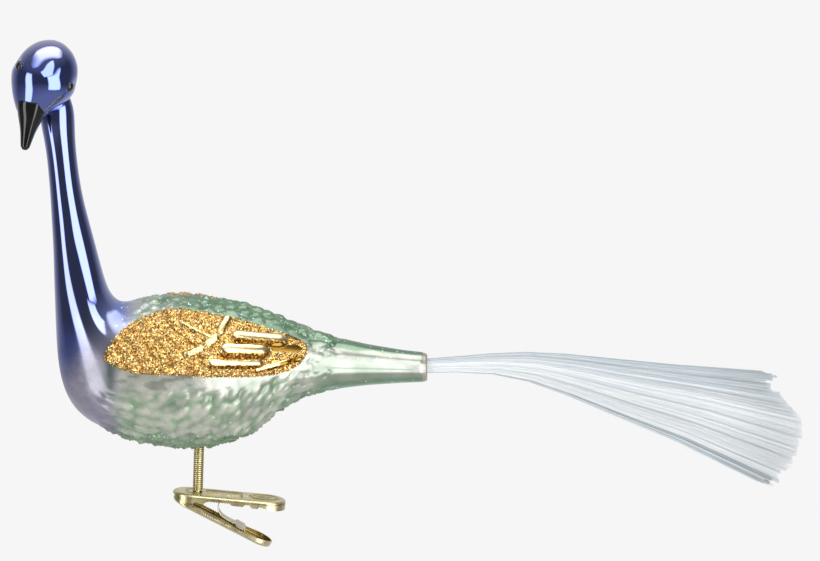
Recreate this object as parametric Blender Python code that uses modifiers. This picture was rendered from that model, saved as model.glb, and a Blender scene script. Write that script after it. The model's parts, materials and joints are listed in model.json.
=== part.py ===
"""A clip-on glass bird ornament, modelled in metres.

A hollow blown-glass bird with a spun-glass tail stands on a close-wound coil spring, which is
riveted to a pressed brass spring clip. The origin is in the clip's mouth, where a twig is held.
The bird faces -X, its tail runs along +X, its left side faces -Y and +Z is up. Lengths below are
in millimetres and angles in degrees; MM turns them into metres where meshes are made.
"""
import math

import bmesh
import bpy
from mathutils import Matrix, Vector

MM = 0.001
GAP = 0.3

# Glass
WALL = 0.8
GLASS_STEPS = 48
GLASS_SIDES = 22

# Sections of the blown glass from the tail tube's mouth to the top of the neck. Each one is an
# ellipse across the body: back point (x, z), front or belly point (x, z), half width along Y, and
# how far its centre is off the middle plane.
GLASS_SECTIONS = [
    (69.1, 42.7, 69.1, 34.4, 4.15, 0.0),
    (58.9, 43.9, 58.9, 34.0, 4.95, 0.0),
    (47.3, 46.1, 47.3, 33.1, 6.3, 0.0),
    (41.3, 47.8, 41.3, 31.9, 7.4, 0.0),
    (36.0, 49.5, 36.0, 31.1, 8.6, 0.0),
    (30.3, 52.1, 30.3, 28.5, 10.4, 0.0),
    (24.6, 54.4, 24.6, 24.2, 12.6, 0.0),
    (19.0, 56.6, 19.0, 19.3, 14.6, 0.0),
    (13.3, 57.9, 13.3, 17.3, 16.0, 0.0),
    (7.7, 58.7, 7.7, 16.2, 17.0, 0.0),
    (2.0, 59.0, 2.0, 15.8, 17.5, 0.0),
    (-5.1, 59.3, -5.1, 16.1, 17.5, 0.0),
    (-10.7, 58.9, -11.7, 16.9, 17.1, 0.0),
    (-14.6, 57.6, -18.4, 19.6, 16.4, 0.0),
    (-17.5, 57.1, -24.8, 23.4, 15.1, 0.0),
    (-19.8, 58.7, -29.7, 27.6, 13.4, 0.0),
    (-21.8, 61.9, -32.8, 33.5, 11.4, 0.0),
    (-23.2, 66.5, -34.7, 41.2, 9.3, 0.0),
    (-24.7, 72.3, -35.4, 52.1, 7.3, 0.0),
    (-26.3, 78.6, -36.1, 65.1, 5.9, 0.0),
    (-27.7, 85.2, -36.8, 76.6, 5.2, 0.0),
    (-29.3, 93.0, -37.5, 88.1, 4.5, 0.0),
    (-30.1, 101.1, -38.2, 98.8, 4.2, 0.0),
    (-30.5, 107.4, -39.5, 106.2, 4.3, 0.0),
    (-30.4, 113.4, -40.5, 111.9, 4.4, -0.6),
    (-31.4, 119.4, -40.5, 118.5, 3.6, -2.4),
]

# Head: an egg turned on an axis from its crown down to the beak, the face towards -Y
CROWN = Vector((-35.2, -1.8, 132.5))
HEAD_AXIS = Vector((-0.36, -0.26, -0.90)).normalized()
FACE_TURN = 3.0
HEAD_FLATTENING = 0.93
HEAD_PROFILE = [
    (0.15, 1.6), (1.2, 4.1), (3.2, 6.4), (6.0, 8.0), (9.0, 8.7), (11.6, 9.1),
    (14.0, 8.8), (16.0, 7.8), (18.0, 6.2), (19.4, 4.6), (20.3, 3.3), (20.8, 2.0),
]
HEAD_STEPS = 16
HEAD_SIDES = 22
EYE_AT = 10.6
EYE_LIFT = 31.0
EYE_RADIUS = 1.2
BEAK_BASE = Vector((-42.0, -6.6, 117.0))
BEAK_TIP = Vector((-44.7, -10.0, 102.9))
BEAK_PROFILE = [(4.4, 0.0), (4.3, 2.5), (3.7, 5.0), (2.8, 8.0), (1.9, 11.2), (1.2, 13.6)]

# Wings: side outline (x, z) of the glitter coat
WING_THICKNESS = 0.7
WING_OUTLINE = [
    (-22.3, 44.8), (-16.4, 52.4), (-7.3, 56.6), (0.3, 57.2), (11.6, 55.5), (17.8, 54.0),
    (28.6, 50.2), (35.3, 46.3), (32.6, 40.6), (21.0, 38.3), (0.9, 39.2), (-13.6, 40.0),
    (-20.0, 42.1),
]

# Tail: spun-glass fan, (x, top z, bottom z, half thickness)
FAN_SECTIONS = [
    (62.6, 40.7, 36.5, 2.1), (69.0, 41.0, 37.0, 2.1), (81.2, 42.0, 37.0, 2.6),
    (98.2, 42.9, 34.3, 3.2), (118.0, 41.5, 26.5, 3.7), (133.9, 39.7, 19.6, 4.0),
    (149.7, 38.6, 12.7, 4.3), (163.6, 37.4, 5.2, 4.6), (178.0, 36.0, -2.5, 4.8),
]
FAN_CREST = 175.5
FAN_ROUND = 9.0
FAN_STEPS = 14
FAN_SIDES = 20

# Stem
STEM_FOOT = Vector((3.9, 0.0, 3.05))
STEM_LEAN = 1.9
COIL_RADIUS = 1.5
WIRE_RADIUS = 0.24
COIL_PITCH = 0.52
COIL_TURNS = 36
COIL_POINTS = 9
BELLY_HOLE_RADIUS = 1.9
CEMENT_RADIUS = 4.0
CEMENT_TOP = 17.8

# Clip: both shells are drawn in a frame with its origin on the pivot, X towards the handles
PIVOT = Vector((5.0, 0.0, -0.9))
UPPER_SLOPE = 5.5
LOWER_SLOPE = 27.5
SHEET = 0.45
SHELL_BEVEL = 0.4
UPPER_ENDS = (-8.45, 23.7)
UPPER_WIDTH = 11.2
UPPER_FACE = 3.35
LOWER_ENDS = (-8.0, 22.8)
LOWER_WIDTH = 9.6
LOWER_FACE = 2.5
RIM = -0.25
EAR_HALF = 1.4
NUB_RADIUS = 0.55
TOOTH_PITCH = 0.8
STRIP_THICKNESS = 0.35
STRIP_WIDTH = 4.4
TAB_WIDTH = 9.4

# Joints of the stem's two bending places, measured up the stem from its foot
LOWER_BEND = 4.5
UPPER_BEND = 9.5


def material(name, colour, roughness, metallic=0.0, alpha=1.0):
    """A plain Principled finish."""
    made = bpy.data.materials.new(name)
    made.use_nodes = True
    shader = made.node_tree.nodes["Principled BSDF"]
    shader.inputs["Base Color"].default_value = (*colour, 1.0)
    shader.inputs["Roughness"].default_value = roughness
    shader.inputs["Metallic"].default_value = metallic
    shader.inputs["Alpha"].default_value = alpha
    return made


def place(name, mesh, collection, finish=None):
    """An object of a mesh that is given in millimetres."""
    mesh.transform(Matrix.Scale(MM, 4))
    mesh.name = name
    made = bpy.data.objects.new(name, mesh)
    collection.objects.link(made)
    if finish:
        mesh.materials.append(finish)
    return made


def cutter(made):
    """Mark an object as a tool that is not part of the model."""
    made.hide_render = True
    made.display_type = "WIRE"
    return made


def boolean(made, operation, tool):
    modifier = made.modifiers.new(tool.name, "BOOLEAN")
    modifier.operation = operation
    modifier.object = tool


def smooth(made, angle=40.0):
    made.data.shade_smooth()
    made.data.set_sharp_from_angle(angle=math.radians(angle))


def spline_at(rows, t):
    """Catmull-Rom through rows of numbers; t runs from 0 to len(rows) - 1."""
    last = len(rows) - 1
    i = min(int(t), last - 1)
    f = t - i
    before, start, end, after = (rows[min(max(k, 0), last)] for k in range(i - 1, i + 3))
    return [
        0.5 * (2 * q + (r - p) * f + (2 * p - 5 * q + 4 * r - s) * f ** 2
               + (3 * q - p - 3 * r + s) * f ** 3)
        for p, q, r, s in zip(before, start, end, after)
    ]


def resample(rows, steps):
    return [spline_at(rows, (len(rows) - 1) * i / steps) for i in range(steps + 1)]


def loft_mesh(rings, flat_ends=True):
    """Skin rings of points into a closed mesh with its faces outwards."""
    mesh = bpy.data.meshes.new("loft")
    bm = bmesh.new()
    loops = [[bm.verts.new(point) for point in ring] for ring in rings]
    sides = len(loops[0])
    for lower, upper in zip(loops, loops[1:]):
        for i in range(sides):
            j = (i + 1) % sides
            bm.faces.new((lower[i], lower[j], upper[j], upper[i]))
    for loop in (loops[0], loops[-1]):
        if flat_ends:
            bm.faces.new(loop)
            continue
        for i in range(sides // 2):
            corners = (loop[i], loop[i + 1], loop[(-i - 1) % sides], loop[-i % sides])
            bm.faces.new(dict.fromkeys(corners))
    bmesh.ops.recalc_face_normals(bm, faces=bm.faces)
    bm.to_mesh(mesh)
    bm.free()
    return mesh


def glass_mesh(grow=0.0):
    """The bird from tail tube to neck; grow moves its surface outwards."""
    rows = resample(GLASS_SECTIONS, GLASS_STEPS)
    if grow < 0:
        mouth = list(rows[0])
        mouth[0] += 2.0
        mouth[2] += 2.0
        rows.insert(0, mouth)
    rings = []
    for back_x, back_z, front_x, front_z, half_width, off in rows:
        back = Vector((back_x, off, back_z))
        front = Vector((front_x, off, front_z))
        centre = (back + front) / 2
        rise = (back - front) / 2
        rise *= (rise.length + grow) / rise.length
        width = Vector((0.0, half_width + grow, 0.0))
        turns = [2 * math.pi * i / GLASS_SIDES for i in range(GLASS_SIDES)]
        rings.append([centre + rise * math.cos(a) + width * math.sin(a) for a in turns])
    return loft_mesh(rings)


def head_frame():
    """Unit vectors of the head: sideways, and out of its forehead."""
    turn = Matrix.Rotation(math.radians(-FACE_TURN), 3, "Z")
    brow = turn @ Vector((0.0, -1.0, 0.0))
    brow = (brow - HEAD_AXIS * brow.dot(HEAD_AXIS)).normalized()
    return HEAD_AXIS.cross(brow), brow


def head_mesh(grow=0.0):
    sideways, brow = head_frame()
    rings = []
    for along, radius in resample(HEAD_PROFILE, HEAD_STEPS):
        middle = HEAD_PROFILE[-1][0] / 2
        centre = CROWN + HEAD_AXIS * (along + grow * (along - middle) / middle)
        across = sideways * (radius + grow)
        out = brow * (radius * HEAD_FLATTENING + grow)
        turns = [2 * math.pi * i / HEAD_SIDES for i in range(HEAD_SIDES)]
        rings.append([centre + across * math.cos(a) + out * math.sin(a) for a in turns])
    return loft_mesh(rings)


def curve_mesh(name, points, closed, settings, kind="POLY"):
    """Make a curve object, read its evaluated mesh, weld its caps and drop the curve."""
    data = bpy.data.curves.new(name, "CURVE")
    for key, value in settings.items():
        setattr(data, key, value)
    spline = data.splines.new(kind)
    if kind == "BEZIER":
        spline.bezier_points.add(len(points) - 1)
        for target, point in zip(spline.bezier_points, points):
            target.co = Vector(point).to_3d()
            target.handle_left_type = "AUTO"
            target.handle_right_type = "AUTO"
    else:
        spline.points.add(len(points) - 1)
        for target, point in zip(spline.points, points):
            target.co = (*Vector(point).to_3d(), 1.0)
    spline.use_cyclic_u = closed
    guide = bpy.data.objects.new(name, data)
    bpy.context.scene.collection.objects.link(guide)
    bpy.context.view_layer.update()
    graph = bpy.context.evaluated_depsgraph_get()
    mesh = bpy.data.meshes.new_from_object(guide.evaluated_get(graph))
    bpy.data.objects.remove(guide)
    bpy.data.curves.remove(data)
    bm = bmesh.new()
    bm.from_mesh(mesh)
    bmesh.ops.remove_doubles(bm, verts=bm.verts, dist=0.001)
    bmesh.ops.recalc_face_normals(bm, faces=bm.faces)
    bm.to_mesh(mesh)
    bm.free()
    return mesh


def flat_solid(name, outline, low, high, kind="POLY"):
    """A flat outline in XY made solid between two heights."""
    settings = {
        "dimensions": "2D", "fill_mode": "BOTH", "extrude": (high - low) / 2, "resolution_u": 5,
    }
    mesh = curve_mesh(name, outline, True, settings, kind)
    mesh.transform(Matrix.Translation((0.0, 0.0, (low + high) / 2)))
    return mesh


def side_solid(name, outline, low, high, kind="POLY"):
    """A side outline in XZ made solid between two places along Y."""
    mesh = flat_solid(name, outline, -high, -low, kind)
    mesh.transform(Matrix.Rotation(math.radians(90.0), 4, "X"))
    return mesh


def turned_mesh(profile, steps):
    """A profile of (radius, height) points turned about Z. It runs down its outer side."""
    mesh = bpy.data.meshes.new("profile")
    points = [(radius * MM, 0.0, height * MM) for radius, height in profile]
    edges = [(i, i + 1) for i in range(len(points) - 1)]
    mesh.from_pydata(points, edges, [])
    made = bpy.data.objects.new("profile", mesh)
    bpy.context.scene.collection.objects.link(made)
    screw = made.modifiers.new("turn", "SCREW")
    screw.axis = "Z"
    screw.steps = steps
    screw.render_steps = steps
    screw.use_merge_vertices = True
    screw.merge_threshold = 0.00001
    bpy.context.view_layer.update()
    graph = bpy.context.evaluated_depsgraph_get()
    solid = bpy.data.meshes.new_from_object(made.evaluated_get(graph))
    bpy.data.objects.remove(made)
    solid.transform(Matrix.Scale(1 / MM, 4))
    return solid


def rod_mesh(radius, low, high, sides=24):
    mesh = bpy.data.meshes.new("rod")
    bm = bmesh.new()
    bmesh.ops.create_cone(
        bm, cap_ends=True, segments=sides, radius1=radius, radius2=radius, depth=high - low)
    bm.to_mesh(mesh)
    bm.free()
    mesh.transform(Matrix.Translation((0.0, 0.0, (low + high) / 2)))
    return mesh


def box_mesh(low, high):
    mesh = bpy.data.meshes.new("box")
    size = [b - a for a, b in zip(low, high)]
    centre = [(a + b) / 2 for a, b in zip(low, high)]
    bm = bmesh.new()
    bmesh.ops.create_cube(bm, size=1.0, matrix=Matrix.LocRotScale(centre, None, size))
    bm.to_mesh(mesh)
    bm.free()
    return mesh


def stem_matrix():
    """From the stem's own frame, foot at the origin and axis on Z, to the model's."""
    lean = Matrix.Rotation(math.radians(STEM_LEAN), 4, "Y")
    return Matrix.Translation(STEM_FOOT) @ lean


def shell_matrix(slope):
    return Matrix.Translation(PIVOT) @ Matrix.Rotation(math.radians(slope), 4, "Y")


def stadium(ends, width, inset=0.0, steps=12):
    """Outline of a strip with round ends."""
    radius = width / 2 - inset
    left = ends[0] + width / 2
    right = ends[1] - width / 2
    turns = [math.pi * i / steps - math.pi / 2 for i in range(steps + 1)]
    outline = [(right + radius * math.cos(a), radius * math.sin(a)) for a in turns]
    outline += [(left - radius * math.cos(a), -radius * math.sin(a)) for a in turns]
    return outline


def teeth(start, end, height, depth):
    """Zigzag edge between two places along a shell."""
    count = round((end - start) / TOOTH_PITCH)
    step = (end - start) / count
    edge = []
    for i in range(count):
        edge.append((start + step * i, height))
        edge.append((start + step * (i + 0.5), height + depth))
    return edge


def upper_edge():
    """Lower edge of the upper shell's flange, from its lip to the end of its handle."""
    edge = [(-10.0, 2.45), (-7.4, 2.45), (-5.0, 0.5)]
    edge += teeth(-4.6, -1.8, 0.5, 0.6)
    edge += [(-EAR_HALF, 0.4), (-EAR_HALF, -0.6), (-0.8, -1.1), (0.8, -1.1), (EAR_HALF, -0.6)]
    edge += [(EAR_HALF, 1.6)]
    edge += teeth(1.8, 8.2, 1.7, 0.25)
    edge += [(8.4, 1.3), (11.6, 1.2), (12.2, 1.8), (13.6, 1.9), (14.0, 1.1), (15.8, 1.0)]
    edge += [(16.4, 1.6), (18.0, 1.3), (20.0, 0.7), (26.0, 0.6)]
    return edge


def lower_edge():
    """Upper edge of the lower shell's flange, from its lip to the end of its handle."""
    edge = [(-10.0, -0.7), (-5.2, -0.7)]
    edge += teeth(-5.0, -1.8, -0.6, -0.6)
    edge += [(-EAR_HALF, -0.5), (-EAR_HALF, 0.5), (-0.8, 1.0), (0.8, 1.0), (EAR_HALF, 0.5)]
    edge += [(EAR_HALF, -0.9)]
    edge += teeth(1.8, 8.2, -1.1, -0.2)
    edge += [(8.8, -0.5), (9.6, RIM), (26.0, RIM)]
    return edge


def shell_blank(name, ends, width, low, high, finish, parts):
    """A pressed shell before its edge is trimmed: a strip with round ends, bevelled all round."""
    made = place(name, flat_solid(name, stadium(ends, width), low, high), parts, finish)
    bevel = made.modifiers.new("pressed corner", "BEVEL")
    bevel.width = SHELL_BEVEL * MM
    bevel.segments = 2
    bevel.limit_method = "ANGLE"
    bevel.angle_limit = math.radians(40.0)
    return made


def move(made, matrix):
    """Place an object by location and rotation, given a matrix in millimetres."""
    shift, turn, _ = matrix.decompose()
    made.location = shift * MM
    made.rotation_euler = turn.to_euler()


def build_glass(parts, tools, finish):
    glass = place("bird_glass", glass_mesh(), parts, finish)
    skull = cutter(place("skull", head_mesh(), tools))
    hollow = cutter(place("hollow", glass_mesh(-WALL), tools))
    skull_hollow = cutter(place("skull_hollow", head_mesh(-WALL), tools))
    hole = cutter(place("belly_hole", rod_mesh(BELLY_HOLE_RADIUS, 5.0, 20.0), tools))
    move(hole, stem_matrix())
    boolean(glass, "UNION", skull)
    boolean(glass, "DIFFERENCE", hollow)
    boolean(glass, "DIFFERENCE", skull_hollow)
    boolean(glass, "DIFFERENCE", hole)
    smooth(glass)
    return glass


def build_face(parts, tools, finish):
    """Enamel beak and eyes, each standing clear of the skull."""
    clear = cutter(place("skull_clearance", head_mesh(GAP), tools))
    down = BEAK_TIP - BEAK_BASE
    length = down.length
    profile = [(0.0, 0.0)]
    profile += [(radius, -along) for radius, along in resample(BEAK_PROFILE, 8)]
    end_radius, end_along = BEAK_PROFILE[-1]
    for degrees in (25, 50, 70):
        turn = math.radians(degrees)
        bulge = (length - end_along) * math.sin(turn)
        profile.append((end_radius * math.cos(turn), -end_along - bulge))
    profile.append((0.0, -length))
    beak = place("beak_enamel", turned_mesh(profile, 20), parts, finish)
    turn = Vector((0.0, 0.0, -1.0)).rotation_difference(down)
    move(beak, Matrix.LocRotScale(BEAK_BASE, turn, None))
    boolean(beak, "DIFFERENCE", clear)
    smooth(beak)
    made = [beak]
    sideways, brow = head_frame()
    lift = math.radians(EYE_LIFT)
    radius = spline_at([(r,) for _, r in HEAD_PROFILE], 4.6)[0]
    for name, side in (("eye_left", 1.0), ("eye_right", -1.0)):
        out = sideways * side * math.cos(lift) + brow * math.sin(lift) * HEAD_FLATTENING
        mesh = bpy.data.meshes.new(name)
        bm = bmesh.new()
        bmesh.ops.create_uvsphere(bm, u_segments=16, v_segments=10, radius=EYE_RADIUS)
        bm.to_mesh(mesh)
        bm.free()
        eye = place(name, mesh, parts, finish)
        move(eye, Matrix.Translation(CROWN + HEAD_AXIS * EYE_AT + out * radius))
        boolean(eye, "DIFFERENCE", clear)
        smooth(eye)
        made.append(eye)
    return made


def build_wings(parts, tools, finish):
    """Glitter coats: the wing outline cut from a skin that follows the body."""
    outside = cutter(place("wing_outside", glass_mesh(GAP + WING_THICKNESS), tools))
    inside = cutter(place("wing_inside", glass_mesh(GAP), tools))
    made = []
    for name, low, high in (("wing_coat_left", -25.0, -2.5), ("wing_coat_right", 2.5, 25.0)):
        mesh = side_solid(name, WING_OUTLINE, low, high, "BEZIER")
        wing = place(name, mesh, parts, finish)
        boolean(wing, "INTERSECT", outside)
        boolean(wing, "DIFFERENCE", inside)
        smooth(wing)
        made.append(wing)
    return made


def fan_point(share, across, side):
    """A point of the tail fan: share of its length, and its place across and through it."""
    start = FAN_SECTIONS[0][0]
    end = FAN_CREST - FAN_ROUND * across ** 2
    x = start + (end - start) * share
    places = [row[0] for row in FAN_SECTIONS]
    i = max(k for k in range(len(places) - 1) if places[k] <= x)
    share_between = (x - places[i]) / (places[i + 1] - places[i])
    _, top, bottom, half = spline_at(FAN_SECTIONS, i + share_between)
    z = (top + bottom) / 2 + across * (top - bottom) / 2
    return Vector((x, side * half, z))


def build_tail(parts, fibre_finish, glue_finish):
    rings = []
    for step in range(FAN_STEPS + 1):
        turns = [2 * math.pi * i / FAN_SIDES for i in range(FAN_SIDES)]
        rings.append([fan_point(step / FAN_STEPS, math.cos(a), math.sin(a)) for a in turns])
    fibres = place("tail_fibres", loft_mesh(rings, flat_ends=False), parts, fibre_finish)
    smooth(fibres)
    outer, inner, length = 3.0, 2.5, 5.0
    profile = [(outer, length), (outer, 0.0), (inner, 0.0), (inner, length), (outer, length)]
    glue = place("tail_cement", turned_mesh(profile, 24), parts, glue_finish)
    glue.location = Vector((63.2, 0.0, 38.6)) * MM
    glue.rotation_euler = (0.0, math.radians(90.0), 0.0)
    smooth(glue)
    return [fibres, glue]


def build_stem(parts, tools, brass, glue_finish):
    centre = COIL_RADIUS - WIRE_RADIUS
    points = []
    for i in range(COIL_TURNS * COIL_POINTS + 1):
        turn = 2 * math.pi * i / COIL_POINTS
        height = WIRE_RADIUS + COIL_PITCH * i / COIL_POINTS
        points.append((centre * math.cos(turn), centre * math.sin(turn), height))
    settings = {
        "dimensions": "3D", "bevel_depth": WIRE_RADIUS, "bevel_resolution": 1,
        "use_fill_caps": True,
    }
    coil = place("coil_spring", curve_mesh("coil", points, False, settings), parts, brass)
    move(coil, stem_matrix())
    smooth(coil)

    cement = place("belly_cement", rod_mesh(CEMENT_RADIUS, 8.0, CEMENT_TOP), parts, glue_finish)
    move(cement, stem_matrix())
    bed = cutter(place("cement_bed", glass_mesh(-WALL - GAP), tools))
    bore = cutter(place("cement_bore", rod_mesh(COIL_RADIUS + GAP, 5.0, 25.0), tools))
    move(bore, stem_matrix())
    boolean(cement, "INTERSECT", bed)
    boolean(cement, "DIFFERENCE", bore)
    smooth(cement)
    return coil, cement


def build_clip(parts, tools, brass):
    span = 20.0
    upper_low = -3.0
    upper = shell_blank(
        "clip_upper_shell", UPPER_ENDS, UPPER_WIDTH, upper_low, UPPER_FACE, brass, parts)
    lower = shell_blank(
        "clip_lower_shell", LOWER_ENDS, LOWER_WIDTH, -LOWER_FACE, 3.0, brass, parts)
    upper_inside = stadium(UPPER_ENDS, UPPER_WIDTH, SHEET)
    lower_inside = stadium(LOWER_ENDS, LOWER_WIDTH, SHEET)
    upper_below = upper_edge() + [(26.0, -9.0), (-10.0, -9.0)]
    lower_above = lower_edge() + [(26.0, 9.0), (-10.0, 9.0)]
    jobs = [
        (upper, flat_solid("hollow", upper_inside, -9.0, UPPER_FACE - SHEET), UPPER_SLOPE),
        (upper, side_solid("edge", upper_below, -span, span), UPPER_SLOPE),
        (lower, flat_solid("hollow", lower_inside, SHEET - LOWER_FACE, 9.0), LOWER_SLOPE),
        (lower, side_solid("edge", lower_above, -span, span), LOWER_SLOPE),
    ]
    for made, mesh, slope in jobs:
        tool = cutter(place(made.name + "_" + mesh.name, mesh, tools))
        move(tool, shell_matrix(slope))
        boolean(made, "DIFFERENCE", tool)
    across = Matrix.Rotation(math.radians(90.0), 4, "X")
    pin_hole = rod_mesh(NUB_RADIUS + GAP, -span, span, 16)
    pin_hole.transform(across)
    tool = cutter(place("pivot_hole", pin_hole, tools))
    move(tool, shell_matrix(UPPER_SLOPE))
    boolean(upper, "DIFFERENCE", tool)
    rivet_hole = cutter(place("rivet_hole", rod_mesh(1.05, -3.0, 3.0), tools))
    move(rivet_hole, stem_matrix())
    boolean(upper, "DIFFERENCE", rivet_hole)
    for side in (-1.0, 1.0):
        low, high = sorted((side * (LOWER_WIDTH / 2 - SHEET / 2), side * (UPPER_WIDTH / 2 - 0.1)))
        nub = rod_mesh(NUB_RADIUS, low, high, 16)
        nub.transform(across)
        tool = cutter(place(f"nub_{side:+.0f}", nub, tools))
        move(tool, shell_matrix(LOWER_SLOPE))
        boolean(lower, "UNION", tool)
    move(upper, shell_matrix(UPPER_SLOPE))
    move(lower, shell_matrix(LOWER_SLOPE))
    smooth(upper)
    smooth(lower)

    head_top = -1.5
    profile = [
        (0.0, 3.2), (0.55, 3.2), (0.75, 3.0), (0.75, head_top), (1.7, head_top),
        (1.7, head_top - 0.35), (1.2, head_top - 0.6), (0.0, head_top - 0.6),
    ]
    rivet = place("spring_rivet", turned_mesh(profile, 20), parts, brass)
    move(rivet, stem_matrix())
    smooth(rivet)
    return upper, lower, rivet


def strip_path():
    """Middle line (x, z) of the leaf spring: upper arm, bend and lower arm."""
    upper = shell_matrix(UPPER_SLOPE)
    lower = shell_matrix(LOWER_SLOPE)
    under = UPPER_FACE - SHEET - GAP - STRIP_THICKNESS / 2
    over = RIM + GAP + STRIP_THICKNESS / 2
    arm = [upper @ Vector((x, 0.0, under)) for x in (13.0, 9.5, 6.2)]
    rest = [lower @ Vector((x, 0.0, over)) for x in (7.6, 10.0, 13.2)]
    bend = [Vector((10.0, 0.0, -0.6)), Vector((9.75, 0.0, -2.4)), Vector((10.6, 0.0, -4.0))]
    rows = [(p.x, p.z) for p in arm + bend + rest]
    return [arm[0], *(Vector((x, 0.0, z)) for x, z in resample(rows, 24)[1:-1]), rest[-1]]


def build_leaf_spring(parts, tools, brass):
    path = strip_path()
    mesh = bpy.data.meshes.new("strip")
    bm = bmesh.new()
    half = Vector((0.0, STRIP_WIDTH / 2, 0.0))
    chain = [bm.verts.new(point - half) for point in path]
    edges = [bm.edges.new(pair) for pair in zip(chain, chain[1:])]
    grown = bmesh.ops.extrude_edge_only(bm, edges=edges)["geom"]
    moved = [item for item in grown if isinstance(item, bmesh.types.BMVert)]
    bmesh.ops.translate(bm, verts=moved, vec=2 * half)
    bm.to_mesh(mesh)
    bm.free()
    strip = place("clip_leaf_spring", mesh, parts, brass)
    solid = strip.modifiers.new("sheet", "SOLIDIFY")
    solid.thickness = STRIP_THICKNESS * MM
    solid.offset = 0.0
    over = RIM + GAP
    tab_mesh = box_mesh(
        (10.2, -TAB_WIDTH / 2, over), (13.0, TAB_WIDTH / 2, over + STRIP_THICKNESS))
    tab = cutter(place("saddle_tab", tab_mesh, tools))
    move(tab, shell_matrix(LOWER_SLOPE))
    boolean(strip, "UNION", tab)
    return strip


def pivot(name, at, children, parent=None):
    """An empty on a joint, with its pieces below it."""
    empty = bpy.data.objects.new(name, None)
    empty.empty_display_size = 3 * MM
    empty.location = at * MM
    bpy.context.scene.collection.objects.link(empty)
    bpy.context.view_layer.update()
    for child in children:
        child.parent = empty
        child.matrix_parent_inverse = empty.matrix_world.inverted()
    if parent:
        empty.parent = parent
        empty.matrix_parent_inverse = parent.matrix_world.inverted()
    return empty


def main():
    for old in list(bpy.data.objects):
        bpy.data.objects.remove(old)
    parts = bpy.data.collections.new("glass_bird_ornament")
    tools = bpy.data.collections.new("cutters")
    for group in (parts, tools):
        bpy.context.scene.collection.children.link(group)

    lacquer = material("silvered_glass", (0.45, 0.55, 0.62), 0.15, 1.0)
    enamel = material("black_enamel", (0.01, 0.01, 0.012), 0.12)
    glitter = material("gold_glitter", (0.83, 0.58, 0.2), 0.35, 1.0)
    fibre = material("spun_glass", (0.78, 0.85, 0.9), 0.3)
    glue = material("clear_cement", (0.8, 0.78, 0.7), 0.4)
    brass = material("brass", (0.78, 0.66, 0.36), 0.22, 1.0)

    glass = build_glass(parts, tools, lacquer)
    face = build_face(parts, tools, enamel)
    wings = build_wings(parts, tools, glitter)
    tail = build_tail(parts, fibre, glue)
    coil, cement = build_stem(parts, tools, brass, glue)
    upper, lower, rivet = build_clip(parts, tools, brass)
    strip = build_leaf_spring(parts, tools, brass)

    root = pivot("clip_root", Vector(), [upper, rivet, strip])
    pivot("clip_pivot", PIVOT, [lower], root)
    up = stem_matrix()
    bend = pivot("stem_bend", up @ Vector((0.0, 0.0, LOWER_BEND)), [coil], root)
    pivot("bird_bend", up @ Vector((0.0, 0.0, UPPER_BEND)),
          [glass, *face, *wings, *tail, cement], bend)


main()
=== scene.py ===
"""Looks of the clip-on glass bird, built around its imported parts.

The bird is blown glass, silvered inside and lacquered outside, with gold glitter on its wings and
a brush of spun glass for a tail. It stands on a close-wound coil spring on a pressed brass clip.
Lengths are in millimetres in the parts' own frame, and MM turns them into metres.
"""

import json
import math

import bmesh
import bpy
import numpy as np
from mathutils import Matrix, Vector, noise
from mathutils.bvhtree import BVHTree
from mathutils.kdtree import KDTree

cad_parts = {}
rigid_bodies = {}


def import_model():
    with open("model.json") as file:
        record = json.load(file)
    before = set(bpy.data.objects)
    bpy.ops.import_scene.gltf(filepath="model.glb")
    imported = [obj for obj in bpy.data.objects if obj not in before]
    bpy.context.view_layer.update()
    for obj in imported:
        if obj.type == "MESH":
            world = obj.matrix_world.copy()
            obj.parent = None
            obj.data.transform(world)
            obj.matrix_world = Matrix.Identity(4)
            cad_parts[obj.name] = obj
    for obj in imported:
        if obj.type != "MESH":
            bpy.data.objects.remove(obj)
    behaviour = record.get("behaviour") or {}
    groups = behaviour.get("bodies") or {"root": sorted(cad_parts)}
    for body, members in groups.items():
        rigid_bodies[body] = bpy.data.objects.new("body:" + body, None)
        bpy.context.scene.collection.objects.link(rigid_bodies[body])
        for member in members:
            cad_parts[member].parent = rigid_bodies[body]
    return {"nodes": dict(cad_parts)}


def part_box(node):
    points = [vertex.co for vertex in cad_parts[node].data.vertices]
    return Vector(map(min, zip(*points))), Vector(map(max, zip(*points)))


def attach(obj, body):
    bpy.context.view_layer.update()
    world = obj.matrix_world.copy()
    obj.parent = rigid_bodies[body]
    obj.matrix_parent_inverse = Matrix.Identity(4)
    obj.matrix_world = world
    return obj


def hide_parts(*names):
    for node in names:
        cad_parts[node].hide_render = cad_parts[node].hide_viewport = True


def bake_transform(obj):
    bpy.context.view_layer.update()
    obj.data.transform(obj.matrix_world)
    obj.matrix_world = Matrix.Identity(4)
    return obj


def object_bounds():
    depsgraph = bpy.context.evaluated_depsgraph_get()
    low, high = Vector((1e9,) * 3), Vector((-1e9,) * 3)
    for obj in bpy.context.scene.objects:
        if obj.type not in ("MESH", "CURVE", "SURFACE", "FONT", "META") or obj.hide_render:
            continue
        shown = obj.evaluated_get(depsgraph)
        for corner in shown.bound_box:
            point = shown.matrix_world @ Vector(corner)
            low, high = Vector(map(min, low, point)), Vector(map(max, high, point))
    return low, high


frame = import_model()
cad_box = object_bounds()

MM = 0.001

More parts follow.
